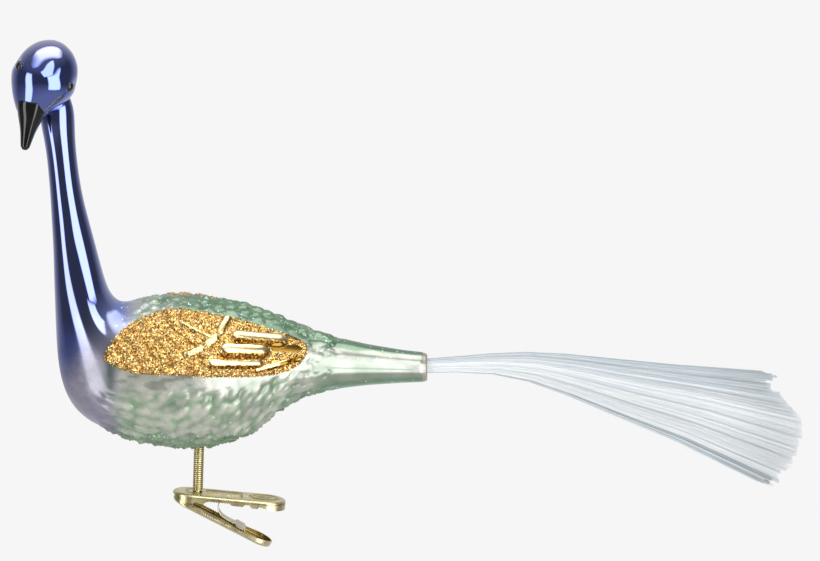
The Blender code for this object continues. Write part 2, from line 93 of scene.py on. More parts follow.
# Driving dimensions of the parts. Sections of the glass are ellipses across the body: back point
# (x, z), front or belly point (x, z), half width along Y, and offset from the middle plane.
GLASS_SECTIONS = [
    (69.1, 42.7, 69.1, 34.4, 4.15, 0.0),
    (58.9, 43.9, 58.9, 34.0, 4.95, 0.0),
    (47.3, 46.1, 47.3, 33.1, 6.3, 0.0),
    (41.3, 47.8, 41.3, 31.9, 7.4, 0.0),
    (36.0, 49.5, 36.0, 31.1, 8.6, 0.0),
    (30.3, 52.1, 30.3, 28.5, 10.4, 0.0),
    (24.6, 54.4, 24.6, 24.2, 12.6, 0.0),
    (19.0, 56.6, 19.0, 19.3, 14.6, 0.0),
    (13.3, 57.9, 13.3, 17.3, 16.0, 0.0),
    (7.7, 58.7, 7.7, 16.2, 17.0, 0.0),
    (2.0, 59.0, 2.0, 15.8, 17.5, 0.0),
    (-5.1, 59.3, -5.1, 16.1, 17.5, 0.0),
    (-10.7, 58.9, -11.7, 16.9, 17.1, 0.0),
    (-14.6, 57.6, -19.0, 19.4, 16.4, 0.0),
    (-17.5, 57.1, -25.9, 22.7, 15.1, 0.0),
    (-19.8, 58.7, -31.1, 26.9, 13.4, 0.0),
    (-21.6, 61.9, -34.2, 33.1, 11.4, 0.0),
    (-22.9, 66.5, -35.7, 41.0, 9.3, 0.0),
    (-24.4, 72.3, -36.2, 52.1, 7.3, 0.0),
    (-26.0, 78.6, -36.5, 65.1, 5.9, 0.0),
    (-27.7, 85.2, -36.8, 76.6, 5.2, 0.0),
    (-29.3, 93.0, -37.5, 88.1, 4.5, 0.0),
    (-30.1, 101.1, -38.2, 98.8, 4.2, 0.0),
    (-30.5, 107.4, -39.5, 106.2, 4.3, 0.0),
    (-30.4, 113.4, -40.5, 111.9, 4.4, -0.6),
    (-32.6, 118.2, -39.0, 117.2, 2.2, -0.2),
]
# The open end of the tail tube
MOUTH_X = 69.1
MOUTH_Z = 38.55
MOUTH_BORE = 3.1
# The head: its crown, the axis down through it, and the turn of the face in degrees
CROWN = Vector((-35.2, -1.8, 132.5))
HEAD_AXIS = Vector((-0.36, -0.26, -0.90)).normalized()
FACE_TURN = 3.0
HEAD_FLATTENING = 0.93
HEAD_CENTRE = CROWN + HEAD_AXIS * 10.6
# Distance down the axis from the crown, and radius
HEAD_PROFILE = [
    (0.15, 1.6), (1.2, 4.1), (3.2, 6.4), (6.0, 8.0), (9.0, 8.7), (11.6, 9.1),
    (14.0, 8.5), (16.0, 7.3), (18.0, 5.6), (19.4, 4.1), (20.3, 2.9), (20.8, 1.8),
]
# The narrowing front of the face: middle (x, y, z) and radius
SNOUT_ROWS = [
    (-38.0, -3.0, 129.8, 1.6), (-38.3, -3.2, 128.4, 4.8), (-38.8, -3.6, 125.5, 7.3),
    (-39.5, -4.2, 122.0, 7.8), (-40.4, -4.7, 119.0, 7.2), (-41.2, -5.1, 116.5, 6.2),
    (-41.8, -5.6, 114.4, 5.1), (-42.1, -6.0, 113.0, 4.2), (-42.3, -6.3, 112.2, 2.6),
]
# The point between skull and snout from which the skin of the head is measured out
HEAD_MIDDLE = (-39.0, -4.4, 122.6)
HEAD_BLEND = 0.9
# Hollows in front of the eyes: angle round the head, and depth
EYE_HOLLOWS = ((0.2, 0.55), (math.pi - 0.25, 0.3))
EYE_RADIUS = 1.42
# Folds of the glass are crisp above this height
CREASES_ABOVE = 106.0
BEAK_BASE = Vector((-42.0, -7.0, 115.6))
BEAK_TIP = Vector((-44.3, -10.0, 102.9))
# Outline of a wing (x, z)
WING_OUTLINE = [
    (-22.3, 44.8), (-16.4, 52.4), (-7.3, 56.6), (0.3, 57.2), (11.6, 55.5), (17.8, 54.0),
    (28.6, 50.2), (35.3, 46.3), (32.6, 40.6), (21.0, 38.3), (0.9, 39.2), (-13.6, 40.0),
    (-20.0, 42.1),
]
# Sections of the fan of fibres: x, top, bottom and half depth
FAN_SECTIONS = [
    (62.6, 40.7, 36.5, 2.1), (69.0, 41.0, 37.0, 2.1), (81.2, 42.0, 37.0, 2.6),
    (98.2, 42.9, 34.3, 3.2), (118.0, 41.5, 26.5, 3.7), (133.9, 39.7, 19.6, 4.0),
    (149.7, 38.6, 12.7, 4.3), (163.6, 37.4, 5.2, 4.6), (178.0, 36.0, -2.5, 4.8),
]
# Where the fibres end: share of the height from the middle, and x
FAN_ENDS = [
    (-1.0, 165.0), (-0.8, 168.0), (-0.6, 169.2), (-0.54, 171.2), (-0.2, 173.5), (0.1, 175.0),
    (0.3, 175.5), (0.45, 172.0), (0.57, 170.4), (0.66, 167.5), (0.75, 165.8), (1.0, 165.4),
]
FIBRES = 3000
STRANDS = 90
TUFTS = 110
FIBRE_LEVELS = np.array((0.0, 0.06, 0.14, 0.24, 0.34, 0.45, 0.58, 0.76, 1.0))
# The stem, its lean in degrees, its coil, and the heights of its two joints
STEM_FOOT = Vector((3.9, 0.0, 3.05))
STEM_LEAN = 1.9
# The hole in the belly: its radius, and the length and height on the stem of the cut
HOLE_RADIUS = 1.9
HOLE_DEPTH = 8.0
HOLE_HEIGHT = 12.0
COIL_RADIUS = 1.5
WIRE_RADIUS = 0.28
COIL_PITCH = 0.6
COIL_TURNS = 31
BENDS = (4.5, 9.5)
# The clip: slopes in degrees, and each shell's ends, width and face measured from the pivot
PIVOT = Vector((5.0, 0.0, -0.9))
UPPER_SLOPE = 5.5
LOWER_SLOPE = 27.5
SHEET = 0.45
CORNER = 0.75
DIMPLE_RADIUS = 0.75
DIMPLE_HEIGHT = 0.3
UPPER_ENDS = (-8.45, 23.7)
UPPER_WIDTH = 11.2
UPPER_FACE = 3.35
LOWER_ENDS = (-8.0, 22.8)
LOWER_WIDTH = 9.6
LOWER_FACE = 2.5
RIM = -1.0
EAR_HALF = 1.4
TOOTH_PITCH = 0.8
STRIP_THICKNESS = 0.35
STRIP_WIDTH = 4.4
TAB_WIDTH = 9.4
GAP = 0.3

# Lacquer colours, linear; the teal is painted shade in the breast's fold and the lavender a painted
# highlight on the crown
SILVER = np.array((0.47, 0.47, 0.41))
PALE_GREEN = np.array((0.26, 0.35, 0.235))
DEEP_GREEN = np.array((0.085, 0.165, 0.09))
PEARL = np.array((0.27, 0.25, 0.34))
MAUVE = np.array((0.175, 0.14, 0.22))
FOLD_SHADE_TEAL = np.array((0.075, 0.10, 0.10))
BLUE = np.array((0.085, 0.13, 0.52))
NIGHT = np.array((0.055, 0.115, 0.58))
CROWN_HIGHLIGHT_LAVENDER = np.array((0.34, 0.33, 0.62))
SLATE = np.array((0.30, 0.36, 0.44))
# The rim of the tail tube, and the fibres
LIP_TINT = (0.36, 0.31, 0.27)
LIP_SATIN = 0.9
FIBRE_PALE = np.array((0.90, 0.905, 0.90))
FIBRE_COOL = np.array((0.67, 0.705, 0.725))
FIBRE_DARK = np.array((0.20, 0.26, 0.28))


# ---------------------------------------------------------------- curves and meshes

def natural_spline(rows, places):
    """A smooth curve through rows of numbers, read at places from 0 to len(rows) - 1."""
    rows = np.array(rows, float)
    count = len(rows)
    system = np.eye(count)
    right = np.zeros_like(rows)
    for i in range(1, count - 1):
        system[i, i - 1:i + 2] = 1, 4, 1
        right[i] = 6 * (rows[i - 1] - 2 * rows[i] + rows[i + 1])
    bend = np.linalg.solve(system, right)
    places = np.asarray(places, float)
    i = np.clip(places.astype(int), 0, count - 2)
    f = (places - i)[:, None]
    g = 1 - f
    cubic = (g ** 3 - g) * bend[i] + (f ** 3 - f) * bend[i + 1]
    return g * rows[i] + f * rows[i + 1] + cubic / 6


def smooth_rows(rows, steps):
    """The same curve at evenly spaced places."""
    return natural_spline(rows, np.linspace(0, len(rows) - 1, steps))


def full_turn(steps):
    """Evenly spaced angles once round."""
    return np.linspace(0, 2 * math.pi, steps, endpoint=False)


def softened(rows, width):
    """Rows of numbers with their unevenness smoothed over width rows. The ends stay."""
    reach = int(3 * width)
    weights = np.exp(-0.5 * (np.arange(-reach, reach + 1) / width) ** 2)
    weights /= weights.sum()
    before = 2 * rows[0] - rows[reach:0:-1]
    after = 2 * rows[-1] - rows[-2:-reach - 2:-1]
    padded = np.vstack([before, rows, after])
    columns = [np.convolve(column, weights, "valid") for column in padded.T]
    return np.array(columns).T


def ramp(value, low, high):
    """0 at low, 1 at high, smooth between them and level beyond. Low may be the larger."""
    share = np.clip((np.asarray(value, float) - low) / (high - low), 0.0, 1.0)
    return share * share * (3 - 2 * share)


def bell(offset, width):
    """1 where there is no offset, and next to nothing two widths away."""
    return np.exp(-(offset / width) ** 2)


def blend_rows(a, b, share):
    """From colour a to colour b for each share."""
    share = np.asarray(share)[..., None]
    return a * (1 - share) + b * share


def unit(vectors):
    """The same directions with length 1."""
    return vectors / np.maximum(np.linalg.norm(vectors, axis=-1, keepdims=True), 1e-12)


def cloud(points, size, seed):
    """Soft noise from -1 to 1 at each point, with features of a given size."""
    flat = np.asarray(points).reshape(-1, 3) / size + seed
    values = [noise.noise(row) for row in flat.tolist()]
    return np.array(values).reshape(np.asarray(points).shape[:-1])


def grid_faces(rows, columns):
    """Quads between the points of a grid whose rows close on themselves."""
    row, column = np.meshgrid(np.arange(rows - 1), np.arange(columns), indexing="ij")
    beside = (column + 1) % columns
    corners = [row * columns + column, row * columns + beside,
               (row + 1) * columns + beside, (row + 1) * columns + column]
    return np.stack(corners, -1).reshape(-1, 4).tolist()


def tube_faces(rows, columns):
    """Quads along a tube and a face over each end."""
    faces = grid_faces(rows, columns)
    faces.append(list(range(columns))[::-1])
    faces.append(list(range((rows - 1) * columns, rows * columns)))
    return faces


def object_from(name, points, faces, outward=True):
    """A smooth mesh object of points in millimetres, its faces turned outwards."""
    mesh = bpy.data.meshes.new(name)
    mesh.from_pydata((np.asarray(points, float).reshape(-1, 3) * MM).tolist(), [], faces)
    if outward:
        bm = bmesh.new()
        bm.from_mesh(mesh)
        bmesh.ops.recalc_face_normals(bm, faces=bm.faces)
        bm.to_mesh(mesh)
        bm.free()
    mesh.shade_smooth()
    made = bpy.data.objects.new(name, mesh)
    bpy.context.scene.collection.objects.link(made)
    return made


def applied(made):
    """Make the object's modifiers part of its mesh."""
    bpy.context.view_layer.update()
    graph = bpy.context.evaluated_depsgraph_get()
    mesh = bpy.data.meshes.new_from_object(made.evaluated_get(graph))
    made.modifiers.clear()
    made.data = mesh


def paint(made, name, values):
    """Store a colour or a number at each point of a mesh."""
    values = np.asarray(values, np.float32)
    if values.ndim == 1:
        layer = made.data.attributes.new(name, "FLOAT", "POINT")
        layer.data.foreach_set("value", values)
        return
    layer = made.data.color_attributes.new(name, "FLOAT_COLOR", "POINT")
    opaque = np.ones((len(values), 4), np.float32)
    opaque[:, :3] = values
    layer.data.foreach_set("color", opaque.ravel())


# ---------------------------------------------------------------- materials

class Tree:
    """A short way to write a node tree."""

    def __init__(self, tree):
        self.tree = tree

    def add(self, kind, inputs=None, **settings):
        node = self.tree.nodes.new(kind)
        for key, value in settings.items():
            setattr(node, key, value)
        for key, value in (inputs or {}).items():
            if isinstance(value, bpy.types.NodeSocket):
                self.tree.links.new(value, node.inputs[key])
            else:
                node.inputs[key].default_value = value
        return node

    def place(self):
        return self.add("ShaderNodeTexCoord").outputs["Object"]

    def number(self, name):
        return self.add("ShaderNodeAttribute", attribute_name=name).outputs["Fac"]

    def colour(self, name):
        return self.add("ShaderNodeAttribute", attribute_name=name).outputs["Color"]

    def noise(self, vector, scale, detail=3.0):
        inputs = {"Vector": vector, "Scale": scale, "Detail": detail}
        return self.add("ShaderNodeTexNoise", inputs).outputs["Fac"]

    def stretched(self, vector, along):
        """The same place with X drawn out, for marks that run lengthwise."""
        inputs = {"Vector": vector, "Scale": (along, 1.0, 1.0)}
        return self.add("ShaderNodeMapping", inputs).outputs[0]

    def math(self, operation, a, b=0.0):
        return self.add("ShaderNodeMath", {0: a, 1: b}, operation=operation).outputs[0]

    def plus(self, a, b):
        return self.math("ADD", a, b)

    def times(self, a, b):
        return self.math("MULTIPLY", a, b)

    def vector(self, operation, a, b):
        inputs = {0: a, 1: b}
        return self.add("ShaderNodeVectorMath", inputs, operation=operation).outputs[0]

    def range(self, value, low, high, to_low, to_high):
        inputs = {0: value, 1: low, 2: high, 3: to_low, 4: to_high}
        return self.add("ShaderNodeMapRange", inputs).outputs[0]

    def mix(self, factor, a, b, blend="MIX"):
        inputs = {0: factor, 6: a, 7: b}
        node = self.add("ShaderNodeMix", inputs, data_type="RGBA", blend_type=blend)
        return node.outputs[2]

    def bump(self, height, strength, distance):
        inputs = {"Height": height, "Strength": strength, "Distance": distance}
        return self.add("ShaderNodeBump", inputs).outputs["Normal"]

    def facets(self, vector, scale):
        """Small cells: two random numbers for each, and a random tilt."""
        inputs = {"Vector": vector, "Scale": scale}
        cells = self.add("ShaderNodeTexVoronoi", inputs).outputs["Color"]
        picks = self.add("ShaderNodeSeparateColor", {0: cells}).outputs
        return picks[0], picks[1], self.vector("SUBTRACT", cells, (0.5, 0.5, 0.5))

    def tilted(self, normal, tilt, share):
        """A normal turned by a share of a tilt."""
        inputs = {0: tilt, "Scale": share}
        scaled = self.add("ShaderNodeVectorMath", inputs, operation="SCALE").outputs[0]
        return self.vector("NORMALIZE", self.vector("ADD", normal, scaled), (0.0, 0.0, 0.0))


def material(name, **sockets):
    """A Principled material with constant socket values, and its tree for linked ones."""
    made = bpy.data.materials.new(name)
    made.use_nodes = True
    shader = made.node_tree.nodes["Principled BSDF"]
    for key, value in sockets.items():
        shader.inputs[key.replace("_", " ")].default_value = value
    return made, Tree(made.node_tree), shader


def link(tree, shader, **sockets):
    """Join outputs to a shader's sockets."""
    for key, output in sockets.items():
        tree.tree.links.new(output, shader.inputs[key.replace("_", " ")])


def rgb(*values):
    """An opaque linear colour."""
    return (*values, 1.0)


def lacquer_material():
    """Silvered glass under coloured lacquer, with satin patches and specks of fine glitter."""
    made, tree, shader = material("lacquered_silver", Coat_IOR=2.2, Coat_Roughness=0.03)
    place = tree.place()
    satin = tree.number("satin")
    clouds = tree.noise(place, 240.0, 4.0)
    streaks = tree.noise(place, 1400.0, 2.0)
    cloudy = tree.mix(tree.range(clouds, 0.3, 0.7, 0.0, 1.0), rgb(0.62, 0.7, 0.66),
                      rgb(1.25, 1.2, 1.2))
    tint = tree.mix(tree.times(satin, 0.9), tree.colour("tint"), cloudy, "MULTIPLY")
    pick, chance, tilt = tree.facets(place, 2300.0)
    sown = tree.math("GREATER_THAN", tree.number("specks"), chance)
    speck = tree.times(tree.math("GREATER_THAN", pick, 0.97), sown)
    tint = tree.mix(speck, tint, rgb(0.55, 0.80, 0.78))
    rough = tree.plus(tree.range(satin, 0.0, 1.0, 0.06, 0.34),
                      tree.times(tree.times(streaks, satin), 0.04))
    brushed = tree.bump(tree.plus(streaks, clouds), tree.times(satin, 0.2), 0.0001)
    link(tree, shader, Base_Color=tint, Roughness=rough,
         Metallic=tree.range(satin, 0.0, 1.0, 1.0, 0.38),
         Coat_Weight=tree.range(satin, 0.0, 1.0, 1.0, 0.18),
         Normal=tree.tilted(brushed, tilt, tree.times(speck, 0.45)))
    return made


def glitter_coat_material():
    """Gold glue coat: mirror gold on the ridges, and small tilted facets of glitter elsewhere."""
    made, tree, shader = material("gold_glitter_coat", Metallic=1.0)
    place = tree.place()
    mirror = tree.number("mirror")
    _, pick, tilt = tree.facets(place, 2500.0)
    gold = tree.add("ShaderNodeValToRGB", {0: pick})
    stops = gold.color_ramp.elements
    stops[0].position, stops[0].color = 0.0, rgb(0.46, 0.25, 0.07)
    stops[1].position, stops[1].color = 1.0, rgb(1.0, 0.86, 0.52)
    for position, colour in ((0.3, rgb(0.85, 0.50, 0.13)), (0.7, rgb(1.0, 0.70, 0.26))):
        stops.new(position).color = colour
    smooth_gold = tree.mix(tree.noise(place, 500.0), rgb(0.98, 0.72, 0.32),
                           rgb(1.0, 0.84, 0.48))
    tint = tree.mix(mirror, gold.outputs[0], smooth_gold)
    # Painted shade: the shaded number darkens the gold to olive brown under ridges and in grooves.
    tint = tree.mix(tree.number("shaded"), tint, rgb(0.27, 0.19, 0.07), "MULTIPLY")
    loose = tree.math("SUBTRACT", 1.0, mirror)
    plain = tree.add("ShaderNodeNewGeometry").outputs["Normal"]
    link(tree, shader, Base_Color=tint, Roughness=tree.range(mirror, 0.0, 1.0, 0.34, 0.2),
         Normal=tree.tilted(plain, tilt, tree.times(loose, 1.1)))
    return made


def flake_material():
    """Cut metallised film: each flake has its own colour."""
    made, tree, shader = material("glitter_flakes", Metallic=1.0)
    speck = tree.noise(tree.place(), 3000.0, 1.0)
    link(tree, shader, Base_Color=tree.colour("tint"),
         Roughness=tree.range(speck, 0.3, 0.7, 0.16, 0.33))
    return made


def enamel_material(name, scale, black, sheen, gloss, roughness, waves):
    """Thick black enamel, brushed on by hand, with a soft unevenness in its gloss."""
    made, tree, shader = material(
        name, Coat_Weight=1.0, Coat_Roughness=0.03, Specular_IOR_Level=gloss)
    clouds = tree.noise(tree.place(), scale)
    link(tree, shader, Base_Color=tree.mix(clouds, rgb(*black), rgb(*sheen)),
         Roughness=tree.range(clouds, 0.3, 0.7, *roughness),
         Normal=tree.bump(clouds, waves, 0.0001))
    return made


def fibre_material():
    """Spun glass: pale, slightly blue, each fibre a little different, with a faint painted glow."""
    # The faint emission is painted light: a glow standing in for light passing through the fibres.
    made, tree, shader = material(
        "spun_glass_fibre", Roughness=0.3, Specular_IOR_Level=0.6, Coat_Weight=0.25,
        Coat_Roughness=0.15, Emission_Color=rgb(0.98, 0.99, 1.0), Emission_Strength=0.13)
    streak = tree.noise(tree.stretched(tree.place(), 0.04), 900.0, 2.0)
    tint = tree.mix(tree.range(streak, 0.3, 0.7, 0.0, 0.6), tree.colour("tint"),
                    rgb(0.82, 0.9, 0.97), "MULTIPLY")
    link(tree, shader, Base_Color=tint)
    return made


def cement_material():
    """Set glue: yellowish, cloudy, with small bubbles."""
    made, tree, shader = material("clear_cement", Roughness=0.35, Coat_Weight=0.4)
    clouds = tree.noise(tree.place(), 700.0)
    tint = tree.mix(clouds, rgb(0.50, 0.46, 0.36), rgb(0.78, 0.74, 0.62))
    link(tree, shader, Base_Color=tint, Normal=tree.bump(clouds, 0.3, 0.0002))
    return made


def brass_material(name, pale, dark, roughness, grain, inside=False):
    """Plated brass: a faint rolled grain, small scratches and duller patches."""
    made, tree, shader = material(name, Metallic=1.0)
    place = tree.place()
    rolled = tree.noise(tree.stretched(place, 0.12), 5200.0, 3.0)
    clouds = tree.noise(place, 420.0, 4.0)
    tint = tree.mix(tree.range(clouds, 0.35, 0.7, 0.0, 1.0), rgb(*pale), rgb(*dark))
    if inside:
        # Painted shade and painted dark reflection: the inside number darkens the sheet.
        tint = tree.mix(tree.number("inside"), tint, rgb(0.52, 0.44, 0.26), "MULTIPLY")
    rough = tree.plus(tree.range(clouds, 0.3, 0.7, roughness, roughness * 1.8),
                      tree.times(rolled, 0.06))
    link(tree, shader, Base_Color=tint, Roughness=rough,
         Normal=tree.bump(rolled, grain, 0.00005))
    return made


def lit_material(name, strength):
    """A surface that glows evenly and reflects nothing."""
    made, _, _ = material(
        name, Base_Color=rgb(0.0, 0.0, 0.0), Roughness=1.0, Specular_IOR_Level=0.0,
        Emission_Color=rgb(1.0, 1.0, 1.0), Emission_Strength=strength)
    return made


def softbox_material(name, strength, colour, soft):
    """Lit cloth that falls off toward the edges of its frame."""
    made, tree, shader = material(
        name, Base_Color=rgb(0.0, 0.0, 0.0), Roughness=1.0, Specular_IOR_Level=0.0,
        Emission_Color=rgb(*colour))
    place = tree.add("ShaderNodeTexCoord").outputs["Generated"]
    parts = tree.add("ShaderNodeSeparateXYZ", {0: place})
    level = strength
    for axis in ("X", "Y"):
        offset = tree.math("ABSOLUTE", tree.math("SUBTRACT", parts.outputs[axis], 0.5))
        level = tree.times(tree.range(offset, 0.5, 0.5 - soft, 0.0, 1.0), level)
    link(tree, shader, Emission_Strength=level)
    return made


def dress(made, finish, slot, body=None, *nodes):
    """Give a piece its material and its body, and hide the parts it stands for. The slot is not
    used.
    """
    made.data.materials.clear()
    made.data.materials.append(finish)
    if body:
        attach(made, body)
    if nodes:
        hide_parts(*nodes)


# ---------------------------------------------------------------- glass

GLASS_SIDES = 256
STATION_STEPS = (34, 190, 112)
STATION_MARKS = (0.14, 3.0, 15.5, 25.0)
FEATHER_ROW_PITCH = 3.7
FEATHER_PITCH = 3.7
FEATHER_REACH = 26
RELIEF = 1.15


def glass_rings():
    """Smooth rings of the blown glass from the tail tube to the neck, and their angles."""
    fine = 40
    places = np.linspace(0, len(GLASS_SECTIONS) - 1, (len(GLASS_SECTIONS) - 1) * fine + 1)
    dense = softened(natural_spline(GLASS_SECTIONS, places), 0.55 * fine)
    stations = [
        np.linspace(start, end, steps, endpoint=False)
        for start, end, steps in zip(STATION_MARKS, STATION_MARKS[1:], STATION_STEPS)
    ]
    stations = np.concatenate([*stations, [STATION_MARKS[-1]]])
    rows = np.array([np.interp(stations, places, column) for column in dense.T]).T
    back = np.stack([rows[:, 0], rows[:, 5], rows[:, 1]], -1)
    front = np.stack([rows[:, 2], rows[:, 5], rows[:, 3]], -1)
    centre = ((back + front) / 2)[:, None, :]
    rise = ((back - front) / 2)[:, None, :]
    turns = full_turn(GLASS_SIDES)
    width = rows[:, 4][:, None, None] * np.array((0.0, 1.0, 0.0))
    rings = centre + rise * np.cos(turns)[None, :, None] + width * np.sin(turns)[None, :, None]
    return rings, turns


def ring_normals(rings):
    """Outward unit normals of a grid of points whose rows close on themselves."""
    along = np.gradient(rings, axis=0)
    around = np.roll(rings, -1, axis=1) - np.roll(rings, 1, axis=1)
    normals = unit(np.cross(around, along))
    outwards = rings - rings.mean(axis=1, keepdims=True)
    return normals * np.sign((normals * outwards).sum())


def wing_edge(steps):
    """The closed outline of a wing as (x, z) points."""
    count = len(WING_OUTLINE)
    rows = WING_OUTLINE[-4:] + WING_OUTLINE + WING_OUTLINE[:4]
    places = 4 + np.linspace(0, count, steps, endpoint=False)
    return natural_spline(rows, places)


def edge_distance(x, z, outline):
    """Distance from points to a closed outline, positive inside it."""
    shape = np.shape(x)
    x, z = np.ravel(x), np.ravel(z)
    nearest = np.full(x.shape, 1e9)
    inside = np.zeros(x.shape, bool)
    for (ax, az), (bx, bz) in zip(outline, np.roll(outline, -1, axis=0)):
        dx, dz = bx - ax, bz - az
        share = np.clip(((x - ax) * dx + (z - az) * dz) / (dx * dx + dz * dz + 1e-12), 0, 1)
        nearest = np.minimum(nearest, np.hypot(x - ax - share * dx, z - az - share * dz))
        crosses = (az > z) != (bz > z)
        inside ^= crosses & (x < ax + (z - az) / (dz + 1e-12) * dx)
    return np.where(inside, nearest, -nearest).reshape(shape)


def relief_strength(rings, normals):
    """How strongly the feather pattern stands out at each point of the glass."""
    x, y, z = rings[..., 0], rings[..., 1], rings[..., 2]
    rear = 33.0 + 8.0 * ramp(normals[..., 2], 0.3, 0.6)
    strength = ramp(46.0 - x, 0.0, 46.0 - rear) * ramp(z, 63.0, 58.0)
    below = ramp(normals[..., 2], 0.25, -0.1)
    start = -12.0 - 10.0 * below
    strength *= ramp(x, start - 5.0, start + 5.0)
    coat = ramp(edge_distance(x, z, wing_edge(80)), -1.6, 0.2) * ramp(np.abs(y), 2.0, 4.0)
    band = ramp(z, 33.5, 36.5) * ramp(z, 42.0, 39.5) * ramp(x, 30.0, 12.0)
    return strength * (1 - coat) * (1 - 0.85 * band)


def run_along(points):
    """Distance from the first point of a line to each of its points."""
    return np.concatenate([[0], np.cumsum(np.linalg.norm(np.diff(points, axis=0), axis=1))])


def feather_frame(rings, normals, angle, i, j, jitter):
    """Directions along and across one feather, and its half length and half width."""
    rear = unit(rings[i - 3, j] - rings[i + 3, j])
    up = unit(rings[i, (j + 2) % GLASS_SIDES] - rings[i, j - 2])
    if math.sin(angle) > 0:
        up = -up
    low = float(ramp(-math.cos(angle), -0.1, 0.25))
    slant = low * abs(math.sin(angle)) * 1.15 * float(ramp(rings[i, j, 0], -18.0, 4.0))
    turn = math.atan(slant) + 0.16 * jitter[2]
    along = math.cos(turn) * rear + math.sin(turn) * up
    length = (5.0 + 2.9 * low) / 2 * (1 + 0.12 * jitter[3])
    return along, np.cross(normals[i, j], along), length, 1.95 - 0.2 * low


def feathers(rings, normals, turns, strength):
    """Overlapping feathers pressed into the glass: their height, and a number for each one."""
    rng = np.random.default_rng(7)
    height = np.zeros(rings.shape[:2])
    shade = np.full(rings.shape[:2], 0.5)
    run = run_along(rings[:, 3 * GLASS_SIDES // 4])
    last = len(rings) - 4
    for row, distance in enumerate(np.arange(FEATHER_ROW_PITCH, run[-1], FEATHER_ROW_PITCH)):
        middle = int(np.searchsorted(run, distance))
        if middle < 3 or middle > last or strength[middle].max() < 0.03:
            continue
        around = run_along(np.vstack([rings[middle], rings[middle][:1]]))
        count = int(round(around[-1] / FEATHER_PITCH))
        for k in range(count):
            jitter = rng.uniform(-1, 1, 4)
            at = (k + 0.5 * (row % 2) + 0.14 * jitter[0]) / count * around[-1] % around[-1]
            j = min(int(np.searchsorted(around, at)), GLASS_SIDES - 1)
            i = int(np.clip(middle + round(2.5 * jitter[1]), 3, last))
            if strength[i, j] < 0.03:
                continue
            along, across, length, width = feather_frame(
                rings, normals, turns[j], i, j, jitter)
            near = slice(max(i - FEATHER_REACH, 0), i + FEATHER_REACH)
            offset = rings[near] - rings[i, j]
            u = offset @ along / length
            v = offset @ across / width
            inside = 1 - u * u - v * v
            dome = np.maximum(inside, 0) ** 0.8 * (0.68 + 0.32 * u) * (0.9 + 0.15 * jitter[0])
            higher = dome > height[near]
            height[near] = np.where(higher, dome, height[near])
            shade[near] = np.where(higher & (inside > 0.02), rng.random(), shade[near])
    for axis in (0, 1):
        height = (np.roll(height, 1, axis) + 2 * height + np.roll(height, -1, axis)) / 4
    return height, shade


def glass_tint(rings, normals, raised, shade, strength):
    """Colour of the glass from tail tube to neck, laid on one coat after another."""
    x, z = rings[..., 0], rings[..., 2]
    nx, nz = normals[..., 0], normals[..., 2]
    wide = cloud(rings, 9.0, 3.1)
    fine = cloud(rings * np.array((0.5, 1.0, 1.0)), 2.4, 8.3)
    streak = ramp(np.abs(cloud(rings * np.array((0.25, 1.0, 1.0)), 1.6, 1.7)), 0.28, 0.1)
    aslant = rings + rings[..., 2:] * np.array((0.8, 0.0, 0.0))
    # Painted reflection: grey flame marks in the silver band under the wing.
    painted_reflection_flames = cloud(aslant * np.array((0.45, 1.0, 1.9)), 2.6, 6.1)
    under = ramp(-nz + 0.12 * fine, 0.55, 0.95)
    over = ramp(nz + 0.15 * fine, 0.35, 0.7)
    tube = ramp(x, 33.0, 42.0)
    tube_top = ramp(nz + 0.05 * fine - 0.2 * ramp(x, 42.0, 64.0), 0.62, 0.76)
    tube_line = bell(nz, 0.035) * ramp(x, 39.0, 43.0) * ramp(x, 67.0, 62.0)
    tube_tone = 0.88 * blend_rows(SILVER, PALE_GREEN, ramp(fine + wide, -0.1, 0.5) * 0.6)
    band = ramp(z, 33.5, 36.0) * ramp(z, 41.5, 39.5) * ramp(x, 24.0, 8.0)
    breast = ramp(x, -15.0, -24.0) * ramp(z, 60.0, 46.0)
    breast_tone = blend_rows(PEARL, MAUVE, ramp(-nx, 0.75, 1.0))
    # Painted shade: a dark teal band where the breast folds in below the neck.
    fold = bell(x + 20.8 + wide, 1.9) * ramp(z, 31.0, 36.0) * ramp(z, 46.0, 42.0)
    shift = 16.0 * ramp(-nx, 0.2, 1.0) - 5.0 * ramp(nx, 0.1, 0.8)
    neck = ramp(z + shift + 2.0 * wide, 43.0, 60.0) * ramp(x, -12.0, -19.0)
    neck_tone = BLUE * (1 - 0.5 * ramp(z, 54.0, 42.0))[..., None]

    hollows = (1 - ramp(raised, 0.15, 0.6)) * strength + 0.45 * ramp(fine + 0.5 * wide, 0.0, 0.5)
    tint = blend_rows(SILVER, PALE_GREEN, np.clip(hollows, 0, 1))
    tint = tint * (0.86 + 0.22 * shade * strength + 0.1 * (1 - strength))[..., None]
    coats = [
        (DEEP_GREEN * 1.25 + 0.12 * PALE_GREEN, 0.85 * under),
        (DEEP_GREEN * 1.35, 0.9 * over * ramp(x, -14.0, 4.0)),
        (tube_tone, tube),
        (DEEP_GREEN * 1.35, tube * tube_top),
        (DEEP_GREEN, 0.8 * tube_line),
        # the tail tube turns darker green towards its underside
        (0.5 * (SILVER + DEEP_GREEN), tube * ramp(-nz + 0.1 * fine, 0.1, 0.3)),
        (DEEP_GREEN * 1.5, tube * ramp(-nz + 0.1 * fine, 0.4, 0.75)),
        (SILVER, 0.9 * band),
        # painted reflection: grey flame marks in the band under the wing
        (SILVER * 0.62, band * ramp(painted_reflection_flames, 0.12, 0.3) * ramp(x, 12.0, 4.0)),
        (SLATE, 0.35 * streak * over * ramp(x, 2.0, -14.0)),
        (breast_tone, 0.9 * breast),
        (MAUVE, 0.6 * breast * ramp(-nz, 0.2, 0.8)),
        # painted shade in the fold at the breast
        (FOLD_SHADE_TEAL, 0.9 * fold),
        (neck_tone, neck),
    ]
    for colour, share in coats:
        tint = blend_rows(tint, colour, share)
    return tint


